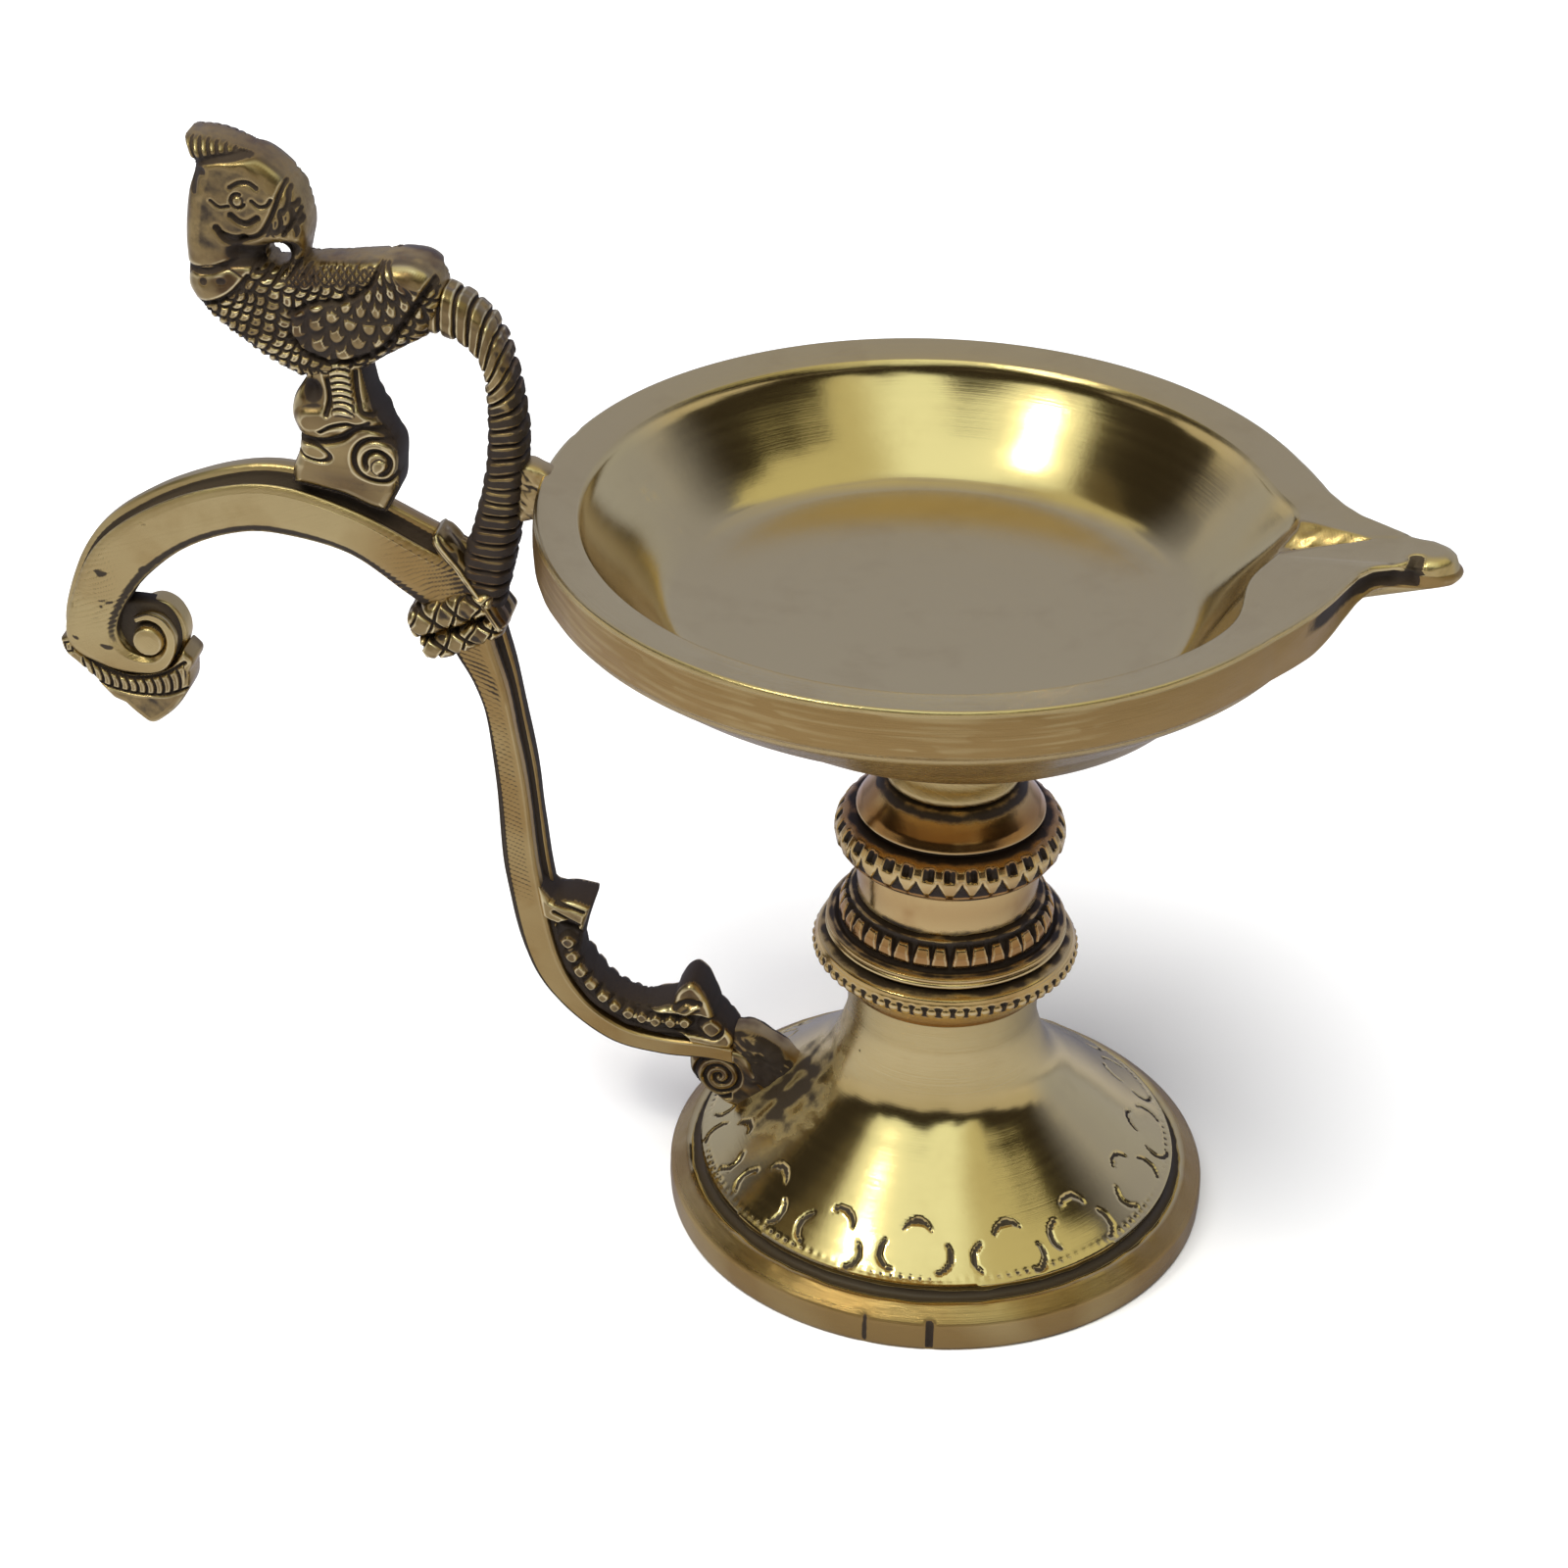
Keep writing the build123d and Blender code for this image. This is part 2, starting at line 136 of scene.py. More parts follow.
def gridPiece(name, p, slot, node=None, wrapU=False, capU=True, **painted):
    # p is a grid of points in millimetres; quads join each point to its next along both parameters
    sheets = {"hollow": hollowness(p, gridNormals(p, wrapU), wrapU)}
    for label in ("sunk", "grain", "satin", "brown"):
        sheets[label] = np.broadcast_to(painted.get(label, 0.0), p.shape[:2])
    if capU and not wrapU:
        p = np.concatenate([np.broadcast_to(p[:1].mean(1, keepdims=True), p[:1].shape), p,
                            np.broadcast_to(p[-1:].mean(1, keepdims=True), p[-1:].shape)])
        for label, sheet in sheets.items():
            sheets[label] = np.concatenate([sheet[:1], sheet, sheet[-1:]])
    rows, cols = p.shape[:2]
    i, j = np.meshgrid(np.arange(rows if wrapU else rows - 1), np.arange(cols), indexing="ij")
    k, m = (i + 1) % rows, (j + 1) % cols
    quads = np.stack([i * cols + j, k * cols + j, k * cols + m, i * cols + m], 2).reshape(-1, 4)
    a, b, c, d = (p.reshape(-1, 3)[quads[:, q]] for q in range(4))
    volume = (np.cross(b - a, c - a) * a).sum() + (np.cross(c - a, d - a) * a).sum()
    if volume < 0:
        quads = quads[:, ::-1]
        sheets["hollow"] = -sheets["hollow"]
    quadPiece(name, node or name, slot, p.reshape(-1, 3), quads, sheets)


def quadPiece(name, node, slot, points, quads, sheets, mixedSides=False):
    # points in millimetres, four point numbers for each face, and a float attribute for each sheet
    mesh = bpy.data.meshes.new(name)
    mesh.vertices.add(len(points))
    mesh.vertices.foreach_set("co", (points * mm).astype(np.float32).ravel())
    mesh.loops.add(len(quads) * 4)
    mesh.loops.foreach_set("vertex_index", quads.astype(np.int32).ravel())
    mesh.polygons.add(len(quads))
    mesh.polygons.foreach_set("loop_start", np.arange(0, len(quads) * 4, 4, dtype=np.int32))
    for label, values in sheets.items():
        flat = np.ascontiguousarray(values, dtype=np.float32).ravel()
        mesh.attributes.new(label, "FLOAT", "POINT").data.foreach_set("value", flat)
    mesh.update(calc_edges=True)

    # poles and caps come in as rows of equal points: join them and drop the empty faces
    b = bmesh.new()
    b.from_mesh(mesh)
    bmesh.ops.remove_doubles(b, verts=b.verts, dist=1e-7)
    bmesh.ops.dissolve_degenerate(b, edges=b.edges, dist=1e-8)
    if mixedSides:
        bmesh.ops.recalc_face_normals(b, faces=b.faces)
    b.to_mesh(mesh)
    b.free()
    mesh.polygons.foreach_set("use_smooth", np.full(len(mesh.polygons), True))
    mesh.materials.append(brasses[slot])
    piece = bpy.data.objects.new(name, mesh)
    bpy.context.scene.collection.objects.link(piece)
    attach(piece, "root")
    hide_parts(node)


def turned(profile, angles, centre=0.0):
    # surface of revolution: each profile point (r, z) at each angle goes to (r cos, r sin, z)
    r, z = profile[:, 0][:, None], profile[:, 1][:, None]
    return np.stack([centre + r * np.cos(angles), r * np.sin(angles), z + 0 * angles], 2)


def raised(p, height, outward, wrapU=False):
    # each point moved along the outward normal by its height
    return p + gridNormals(p, wrapU) * outward * height[:, :, None]


class NodeKit:
    # makes the nodes of one tree; what goes into a socket is a number, a colour, a node, a node's
    # output, or the name of one of the group's own inputs
    def __init__(self, tree):
        self.tree = tree

    def put(self, socket, item):
        if isinstance(item, (int, float, tuple)):
            socket.default_value = item
            return
        if isinstance(item, str):
            item = self.source.outputs[item]
        self.tree.links.new(item.outputs[0] if isinstance(item, bpy.types.Node) else item, socket)

    def node(self, kind, inputs=(), **settings):
        made = self.tree.nodes.new("ShaderNode" + kind)
        for label, value in settings.items():
            setattr(made, label, value)
        for key, item in dict(inputs).items():
            self.put(made.inputs[key], item)
        return made

    def math(self, operation, *items, clamp=False):
        return self.node("Math", enumerate(items), operation=operation, use_clamp=clamp)

    def ramp(self, item, low, high):
        return self.node("MapRange", {"Value": item, "From Min": low, "From Max": high},
                         interpolation_type="SMOOTHSTEP")

    def attribute(self, label):
        return self.node("Attribute", attribute_name=label).outputs["Fac"]

    def place(self):
        return self.node("TexCoord").outputs["Object"]

    def noise(self, vector, scale, detail=3.0, rough=0.55):
        return self.node("TexNoise", {"Vector": vector, "Scale": scale, "Detail": detail,
                                      "Roughness": rough}).outputs["Fac"]

    def mix(self, amount, one, two):
        # sockets 6 and 7 of the Mix node are its two colours, output 2 the mixed one
        return self.node("Mix", {"Factor": amount, 6: one, 7: two}, data_type="RGBA").outputs[2]

    def give(self, **items):
        for label, item in items.items():
            self.put(self.sink.inputs[label], item)
        return self.tree


def groupKit(name, inputs, outputs):
    # a new shader node group with these named sockets
    kit = NodeKit(bpy.data.node_groups.new(name, "ShaderNodeTree"))
    for label, value in inputs.items():
        kind = "NodeSocketColor" if isinstance(value, tuple) else "NodeSocketFloat"
        socket = kit.tree.interface.new_socket(label, in_out="INPUT", socket_type=kind)
        socket.default_value = value
    for label, kind in outputs.items():
        kit.tree.interface.new_socket(label, in_out="OUTPUT", socket_type="NodeSocket" + kind)
    kit.source = kit.tree.nodes.new("NodeGroupInput")
    kit.sink = kit.tree.nodes.new("NodeGroupOutput")
    return kit


def tarnishGroup():
    # dark where the surface is bent inwards, cut below its face or given painted shade, bright on worn ridges, uneven
    # by noise
    g = groupKit("tarnish", {"Metal": (0.8, 0.6, 0.3, 1), "Brown": (0.44, 0.28, 0.1, 1),
                             "Dark": (0.03, 0.02, 0.01, 1), "Worn": (0.9, 0.8, 0.5, 1),
                             "Reach": 0.5, "Cover": 0.5, "Wear": 0.4, "Stain": 0.2},
                 {"Color": "Color", "Mask": "Float"})
    softness = 0.28
    dimming = g.noise(g.place(), 900.0, 4.0, 0.6)
    cloud = g.noise(g.place(), 130.0, 3.0, 0.6)
    hollow = g.math("MULTIPLY", g.attribute("hollow"), 0.55)
    depth = g.math("ADD", hollow, g.math("MULTIPLY", g.attribute("sunk"), 2.6))
    uneven = g.math("MULTIPLY_ADD", g.math("SUBTRACT", dimming, 0.5), 0.5, depth)
    low = g.math("SUBTRACT", "Reach", softness)
    high = g.math("ADD", "Reach", softness)
    dark = g.math("MULTIPLY", g.ramp(uneven, low, high), "Cover", clamp=True)
    ridge = g.math("MULTIPLY", g.ramp(g.math("MULTIPLY", depth, -1.0), 0.12, 0.9), "Wear", clamp=True)
    stain = g.math("MULTIPLY", g.ramp(cloud, 0.48, 0.72), "Stain")
    stained = g.mix(g.math("ADD", stain, g.attribute("brown"), clamp=True), "Metal", "Brown")
    return g.give(Color=g.mix(dark, g.mix(ridge, stained, "Worn"), "Dark"), Mask=dark)


def brushedGroup():
    # lines of one height along the brushing: noise that changes fast across it and slowly along it
    g = groupKit("brushed", {"Lines": 6.0, "Drift": 18.0}, {"Height": "Float", "Tone": "Float"})
    across = g.math("MULTIPLY", g.attribute("grain"), "Lines")
    split = g.node("SeparateXYZ", {0: g.place()})
    along = g.math("MULTIPLY", g.math("ADD", split.outputs["X"], split.outputs["Z"]), "Drift")
    deep = g.math("MULTIPLY", split.outputs["Y"], "Drift")
    join = g.node("CombineXYZ", {"X": across, "Y": along, "Z": deep})
    return g.give(Height=g.noise(join, 1.0, 5.0, 0.7), Tone=g.noise(join, 0.23, 2.0, 0.5))


def castGroup():
    # casting skin: round pits where fine cells come together, and a soft grain
    g = groupKit("castSkin", {"Pits": 0.1, "Grain": 1500.0}, {"Height": "Float", "Pit": "Float"})
    cells = g.node("TexVoronoi", {"Vector": g.place(), "Scale": 190.0})
    size = g.noise(g.place(), 75.0, 2.0)
    edge = g.math("MULTIPLY", g.ramp(size, 0.52, 0.8), "Pits")
    pit = g.ramp(g.math("SUBTRACT", edge, cells.outputs["Distance"]), 0.0, 0.05)
    grain = g.noise(g.place(), "Grain", 3.0, 0.6)
    return g.give(Height=g.math("SUBTRACT", grain, g.math("MULTIPLY", pit, 3.0)), Pit=pit)


groups = {"tarnish": tarnishGroup(), "brushed": brushedGroup(), "cast": castGroup()}


def brass(name, look):
    # Principled metal: tarnish sets colour and metal share, brushing and casting skin set gloss and bump
    material = bpy.data.materials.new(name)
    material.use_nodes = True
    kit = NodeKit(material.node_tree)
    shader = kit.tree.nodes["Principled BSDF"].inputs
    inputs = {"tarnish": ("Metal", "Brown", "Dark", "Worn", "Reach", "Cover", "Wear", "Stain"),
              "brushed": ("Lines", "Drift"), "cast": ("Pits",)}
    made = {}
    for label, tree in groups.items():
        made[label] = kit.node("Group", node_tree=tree)
        for key in inputs[label]:
            value = look[key.lower()]
            made[label].inputs[key].default_value = value + (1,) if isinstance(value, tuple) else value
    tarnish, brushed, cast = (made[label].outputs for label in ("tarnish", "brushed", "cast"))
    shade = kit.math("MAXIMUM", tarnish["Mask"], cast["Pit"])
    kit.put(shader["Base Color"], kit.mix(cast["Pit"], tarnish["Color"], look["dark"] + (1,)))
    kit.put(shader["Metallic"], kit.math("MULTIPLY_ADD", shade, -0.75, 1.0))
    satin = kit.attribute("satin")
    gloss = kit.math("MULTIPLY_ADD", satin, look["satinRoughness"] - look["roughness"], look["roughness"])
    toned = kit.math("MULTIPLY_ADD", brushed["Tone"], look["sheenShift"], gloss)
    kit.put(shader["Roughness"], kit.math("MULTIPLY_ADD", shade, 0.4, toned))
    stroke = kit.math("MULTIPLY_ADD", satin, look["satinBrush"] - look["brush"], look["brush"])
    height = kit.math("MULTIPLY", brushed["Height"], stroke)
    height = kit.math("MULTIPLY_ADD", cast["Height"], look["skin"], height)
    kit.put(shader["Normal"], kit.node("Bump", {"Strength": 1.0, "Distance": mm, "Height": height}))
    return material


baseLook = {"metal": (0.80, 0.60, 0.25), "brown": (0.44, 0.28, 0.095), "dark": (0.022, 0.014, 0.009),
            "worn": (0.92, 0.76, 0.40), "reach": 0.40, "cover": 0.97, "wear": 0.5, "stain": 0.12, "lines": 5.0,
            "drift": 20.0, "pits": 0.1, "roughness": 0.13, "satinRoughness": 0.28, "sheenShift": 0.08,
            "brush": 0.006, "satinBrush": 0.06, "skin": 0.004}
looks = {
    "polished_brass": {"metal": (0.78, 0.61, 0.27), "reach": 0.55, "roughness": 0.1},
    "punched_brass": {"metal": (0.76, 0.54, 0.22), "brown": (0.45, 0.24, 0.08), "stain": 0.45, "skin": 0.01},
    "filed_brass": {"metal": (0.63, 0.48, 0.205), "roughness": 0.27, "brush": 0.03, "stain": 0.35, "pits": 0.16},
    "cast_brass": {"metal": (0.46, 0.33, 0.135), "brown": (0.15, 0.09, 0.04), "roughness": 0.23, "reach": 0.24,
                   "skin": 0.014, "stain": 0.9, "pits": 0.2, "wear": 1.0},
    "braze": {"metal": (0.78, 0.58, 0.25), "brown": (0.2, 0.12, 0.05), "roughness": 0.3, "skin": 0.03, "stain": 0.6,
              "pits": 0.3},
    "plain_brass": {"roughness": 0.25},
}
brasses = {name: brass(name, {**baseLook, **look}) for name, look in looks.items()}
print("materials:", len(brasses))


def stacked(*runs):
    # one profile from several runs, each (points, count); count 0 keeps the points as they are
    return np.vstack([evenly(run, count) if count else np.asarray(run, float) for run, count in runs])


def arcLength(profile):
    # running length along a profile, in millimetres
    return np.concatenate([[0], np.cumsum(np.linalg.norm(np.diff(profile, axis=0), axis=1))])


def around(angle, count, first=0.0):
    # which of `count` equal sectors each angle lies in, and how far it is from the sector's middle, -1 to 1
    part = (angle - first) * count / turn
    number = np.round(part)
    return number.astype(int) % count, 2 * (part - number)


def crescent(a, b, size, width):
    # depth 0 to 1 of a crescent punch: an arc of radius `size` about the origin, open downwards, with thin ends
    ring = np.abs(np.hypot(a, b) - size)
    lean = np.arctan2(a, b)
    room = width * dome(lean / 1.25)
    return smooth(room - ring, 0.0, 0.14)


footShape = {
    "bell": [(11.6, 32), (11.5, 29), (11.6, 26.4), (12.6, 23), (14.1, 20), (16.8, 17.2), (20.3, 14),
             (25, 9.9), (28, 7.6), (29.3, 6.7)],
    "rim": [(29.3, 6.7), (29.2, 6.2), (29, 5.7), (29.2, 5.2), (29.7, 5.05), (30.2, 5.2), (30.6, 5.45),
            (31.1, 5.4), (32.7, 4.1), (33.05, 3.7), (33.1, 1.8), (33, 0.4), (32.7, 0)],
    "under": [(32.7, 0), (30.1, 0), (29.8, 0.4), (29.8, 1.6)],
    "hollow": [(29.8, 1.6), (27, 4.6), (22.6, 8), (15.6, 14.2), (9, 20)],
    "flowers": 15, "firstFlower": math.radians(-87), "flowerRadius": 26.2, "petal": 2.05, "petalWidth": 0.29,
    "petals": [(0, 2.3, 0), (-3.0, -0.9, 1.75), (3.0, -0.9, -1.75)],
    "dots": 152, "dotsBelow": 3.1, "nicks": [(-96, 0.32, 0.2), (-82.5, 0.36, 0.62)], "rimRadius": 33,
}


def footPiece():
    # bell turned about z: (r cos a, r sin a, z), with punched flowers, a dotted border and nicks pressed in
    f = footShape
    crown, bellRows, rimRows = 7, 100, 34
    bell = evenly(throughPoints(f["bell"], 300), bellRows)
    profile = stacked(([(3, 20), (3, 32)], 4), ([(3.4, 32), (11, 32)], 3), (bell, 0), (f["rim"], rimRows),
                      (f["under"], 7), (throughPoints(f["hollow"], 30), 14), ([(8.4, 20), (3.6, 20)], 3))
    angles = np.linspace(0, turn, 601)[:-1]
    p = turned(profile, angles)
    s = arcLength(profile)[:, None]
    r, z = profile[:, 0][:, None], profile[:, 1][:, None]
    x, y = p[:, :, 0], p[:, :, 1]
    row = np.arange(len(profile))[:, None]
    outside = (row >= crown) & (row < crown + bellRows + rimRows)
    flowerAt = s[np.argmin(np.abs(bell[:, 0] - f["flowerRadius"])) + crown]
    number, off = around(angles, f["flowers"], f["firstFlower"])
    sway = 0.5 * np.sin(number * 2.4)
    lift = 0.35 * np.sin(number * 3.9 + 1)
    lean = 0.22 * np.sin(number * 5.3)
    across = off * np.pi / f["flowers"] * f["flowerRadius"] - sway
    up = flowerAt - s - lift
    a = across * np.cos(lean) + up * np.sin(lean)
    b = up * np.cos(lean) - across * np.sin(lean)
    cut = np.zeros(p.shape[:2])
    for k, (pa, pb, tilt) in enumerate(f["petals"]):
        tilt = tilt + 0.2 * np.sin(number * 1.7 + 2 * k)
        da, db = a - pa, b - pb
        ca = da * np.cos(tilt) + db * np.sin(tilt)
        cb = db * np.cos(tilt) - da * np.sin(tilt)
        cut = np.maximum(cut, 0.34 * crescent(ca, cb + 0.8, f["petal"], f["petalWidth"]))
    dots = bump(around(angles, f["dots"])[1], 0.62) * bump(s - flowerAt - f["dotsBelow"], 0.26)
    cut = np.maximum(cut, 0.22 * dots * (0.6 + 0.4 * np.sin(angles * 11)))
    for degrees, width, deep in f["nicks"]:
        side = (np.angle(np.exp(1j * (angles - math.radians(degrees))))) * f["rimRadius"]
        edge = smooth(z, -0.2, 0.6) * smooth(-z, -4.4, -3.8) * (r > 31)
        cut = np.maximum(cut, deep * bump(side, width) * edge)
    cut = cut * outside
    uneven = 0.05 * wobble(x, y, z, 9.0, 1.0) * outside
    uneven = uneven + 0.12 * bump(z - 5.6, 0.7) * (r > 28) * wobble(x, y, z, 1.7, 4.0)
    shaped = raised(p, uneven - cut, outwardSign(p, True), True)

    # heat stain by the handle's root, painted shade with streaks of grime in the groove above the rim, and the browner
    # rim
    burnt = bump(np.hypot(x + 17.5, (y + 5.5) / 1.2), 7.0) * smooth(z, 8, 12) * outside
    streaks = 0.5 + 0.5 * wobble(x, y, z, 1.3, 8.0)
    ragged = 0.3 * wobble(x, y, 0 * x, 2.2, 4.0)
    # painted shade darkening the groove above the rim, with uneven streaks of grime on it
    grooveShadeAndGrime = bump(z - 5.35 - ragged, 0.6) * smooth(-r, -30.6, -29.9) * outside
    sunk = 1.7 * cut + 0.35 * burnt * streaks + 0.16 * burnt + grooveShadeAndGrime * (0.4 + 0.12 * streaks)
    rimFace = crown + bellRows + 17
    rim = smooth(s, s[rimFace], s[rimFace + 4])
    neck = smooth(z, 20, 26) * outside
    bevel = smooth(r, 30.7, 31) * smooth(z, 3.2, 3.8) * outside
    satin = np.maximum(rim, 0.8 * bevel) + 0.6 * neck + 0.5 * burnt
    brown = (0.95 + 0.4 * wobble(x, y, z, 5.0, 3.0)) * np.maximum(rim, bevel) + 0.3 * burnt
    gridPiece("foot", shaped, "polished_brass", wrapU=True, sunk=sunk + 0.11 * bevel + 0.07 * rim, grain=s,
              satin=satin, brown=brown)


def outwardSign(p, wrapU):
    # +1 where the grid's own normals already point away from the lamp's axis on the widest ring, else -1
    n = gridNormals(p, wrapU)
    r = np.hypot(p[:, :, 0], p[:, :, 1])
    widest = np.unravel_index(np.argmax(r), r.shape)
    return np.sign((n[widest][:2] * p[widest][:2]).sum())


footPiece()
print("foot done")

lowerShape = {
    "profile": [(3, 32), (12.2, 32), (12.5, 32.6), (15.2, 35.4), (15.9, 36), (16.05, 36.6), (15.8, 37.2),
                (15.5, 37.5), (15.35, 38), (14.6, 38.35), (13.3, 38.4), (13.2, 38.8), (14.2, 38.9),
                (14.5, 39.2), (14.45, 39.55), (14.1, 39.65), (14.35, 39.8), (14.4, 40.1), (14.05, 40.35),
                (13.3, 40.5), (12.7, 40.65), (12.9, 41.2), (12.85, 42.1), (12.3, 43.2), (11.6, 43.9),
                (10.9, 44), (3, 44)],
    "beads": 62, "beadRing": (36.3, 1.0), "pyramids": 34, "pyramidRing": (42.1, 1.55),
    "gutters": [(38.5, 0.45), (40.6, 0.5), (43.9, 0.7)], "tinted": [(32.6, 2.2, 1), (42, 1.5, 1)],
}
upperShape = {
    "profile": [(3, 44), (10.7, 44), (10.8, 44.4), (10.85, 47), (10.8, 49.6), (10.9, 49.9), (12.2, 49.95),
                (12.45, 50.15), (12.35, 50.35), (12.9, 50.6), (13.6, 51.6), (13.75, 52.6), (13.55, 53.6),
                (13, 54.5), (12.2, 55), (10.7, 55), (10.4, 55.25), (10.6, 55.5), (11.2, 55.55),
                (11.25, 55.8), (10.6, 56.8), (9.4, 58.2), (8.4, 59.3), (8, 59.5), (3, 59.5)],
    "punches": 33, "punchRing": (52.15, 1.25), "holeRing": (53.95, 0.75),
    "gutters": [(55.15, 0.35), (44.1, 0.7), (50.1, 0.22), (59.2, 0.6)],
    "tinted": [(57, 2.0, 1), (54.8, 0.6, 1), (50.8, 0.8, 1), (47.2, 2.0, 0.35)],
}


def knopPiece(name, shape, press):
    # turned profile, pressed in by press(profile point, angle), which is zero or less
    profile = evenly(shape["profile"], 150)
    angles = np.linspace(0, turn, 573)[:-1]
    p = turned(profile, angles)
    r, z = profile[:, 0][:, None], profile[:, 1][:, None]
    x, y = p[:, :, 0], p[:, :, 1]
    outside = r > 5
    height = press(shape, r, z, angles) + 0.03 * wobble(x, y, z, 3.0, 2.0) * outside
    shaped = raised(p, height, outwardSign(p, True), True)
    shade = sum(bump(z - at, wide) * outside for at, wide in shape["gutters"])
    brown = sum(much * bump(z - at, wide) * outside for at, wide, much in shape["tinted"])
    sunk = 1.5 * np.maximum(-height, 0) + 0.42 * shade * (0.8 + 0.3 * wobble(x, y, z, 1.4, 3.0))
    s = arcLength(profile)[:, None]
    gridPiece(name, shaped, "punched_brass", wrapU=True, sunk=sunk, grain=s, brown=brown)


def lowerPress(shape, r, z, angles):
    # beads: domes on a floor 0.62 deep; pyramids: four-sided blunt points with gaps 0.95 deep
    ringZ, tall = shape["beadRing"]
    number, off = around(angles, shape["beads"])
    v = (z - ringZ) / tall
    band = (np.abs(v) < 1) & (r > 15)
    loose = 0.12 * np.sin(number * 5.1)
    bead = dome(((np.abs(off + loose) / 0.9) ** 2.6 + (np.abs(v) * 0.92) ** 3) ** 0.5)
    press = -0.62 * (1 - bead) * band * smooth(1 - np.abs(v), 0, 0.2)
    ringZ, tall = shape["pyramidRing"]
    number, off = around(angles, shape["pyramids"])
    v = (z - ringZ) / tall
    band = (np.abs(v) < 1) & (r < 13.2) & (r > 11)
    off = np.abs(off + 0.12 * np.sin(number * 3.7)) / (0.95 - 0.35 * v + 0.08 * np.sin(number * 2.1))
    pyramid = np.clip(1.12 - np.maximum(off, np.abs(v) * 0.98), 0, 1)
    return press - 0.95 * (1 - np.minimum(1, 2.4 * pyramid)) * band


def upperPress(shape, r, z, angles):
    # triangles pressed point up around the ring, and a square hole over each gap
    ringZ, tall = shape["punchRing"]
    number, off = around(angles, shape["punches"])
    off = off + 0.14 * np.sin(number * 4.3)
    v = (z - ringZ) / tall
    slope = np.clip((0.95 * (1 - v) / 2 - np.abs(off)) / 0.35, 0, 1)
    press = -0.7 * slope * smooth(1 - np.abs(v), 0, 0.15) * (r > 12.6)
    ringZ, tall = shape["holeRing"]
    between = around(angles, shape["punches"], np.pi / shape["punches"])[1]
    hole = smooth(0.62 - np.abs(between), 0, 0.25) * smooth(1 - np.abs(z - ringZ) / tall, 0, 0.4)
    return np.minimum(press, -0.75 * hole * (0.75 + 0.35 * np.sin(number * 3.1)) * (r > 12.4))


knopPiece("lower_knop", lowerShape, lowerPress)
knopPiece("upper_knop", upperShape, upperPress)
print("knops done")

bowlShape = {
    "centre": -3.5, "radius": 45.0, "mouth": 40, "rim": 94.6, "lip": 93.8, "bandBottom": 89.0,
    "outline": [(-180, 45), (-60, 45), (-34, 45), (-28, 45.2), (-22, 45.9), (-16.4, 46.7), (-11, 47.4),
                (-6.6, 48.3), (-4.2, 49.6), (-3, 51.8), (-2.6, 54.4), (-2.2, 56.6), (-1.2, 58.2),
                (0.2, 58.8), (1.4, 58.8), (2.8, 58), (4.2, 56.2), (4.9, 53.6), (6.9, 51.9), (8.7, 50.1),
                (10.5, 48.4), (13.5, 46.9), (17.5, 45.8), (22, 45.4), (28, 45.05), (34, 45), (60, 45),
                (180, 45)],
    "inside": [(0, 80.8), (12, 80.98), (24, 81.5), (28.6, 81.9), (30.6, 82.6), (33.2, 85.0), (35.8, 88.0),
               (38.2, 90.9), (39.7, 92.9)],
    "underside": [(45, 89), (44, 87.6), (40.6, 84.9), (37.4, 82.4), (33.5, 80), (30.4, 77.4), (27.2, 75.4),
                  (20, 73.2), (12, 72.2), (8.6, 70), (7, 67), (6.8, 64), (6.9, 62.2), (7.1, 61.6),
                  (7.8, 61.2), (8, 60.8), (7.8, 60), (7.3, 59.6)],
    "socket": [(7, 59.5), (3, 59.5), (3, 65.5), (0.01, 65.5)],
    "wick": {"y": 3.4, "halfWidth": 4.9, "start": 34.5, "end": 45.5, "depth": 3.0},
    "nose": {"start": 48.6, "rise": 0.6, "notch": 50.1},
}


def bowlOutline(angles):
    # radius of the rim's outer edge about the bowl's centre: a circle drawn out into the spout
    table = np.array(bowlShape["outline"])
    fine = evenly(table, 3000)
    soft = np.convolve(np.pad(fine[:, 1], 6, mode="edge"), np.ones(13) / 13, "valid")
    return np.interp(np.degrees(angles), fine[:, 0], soft)


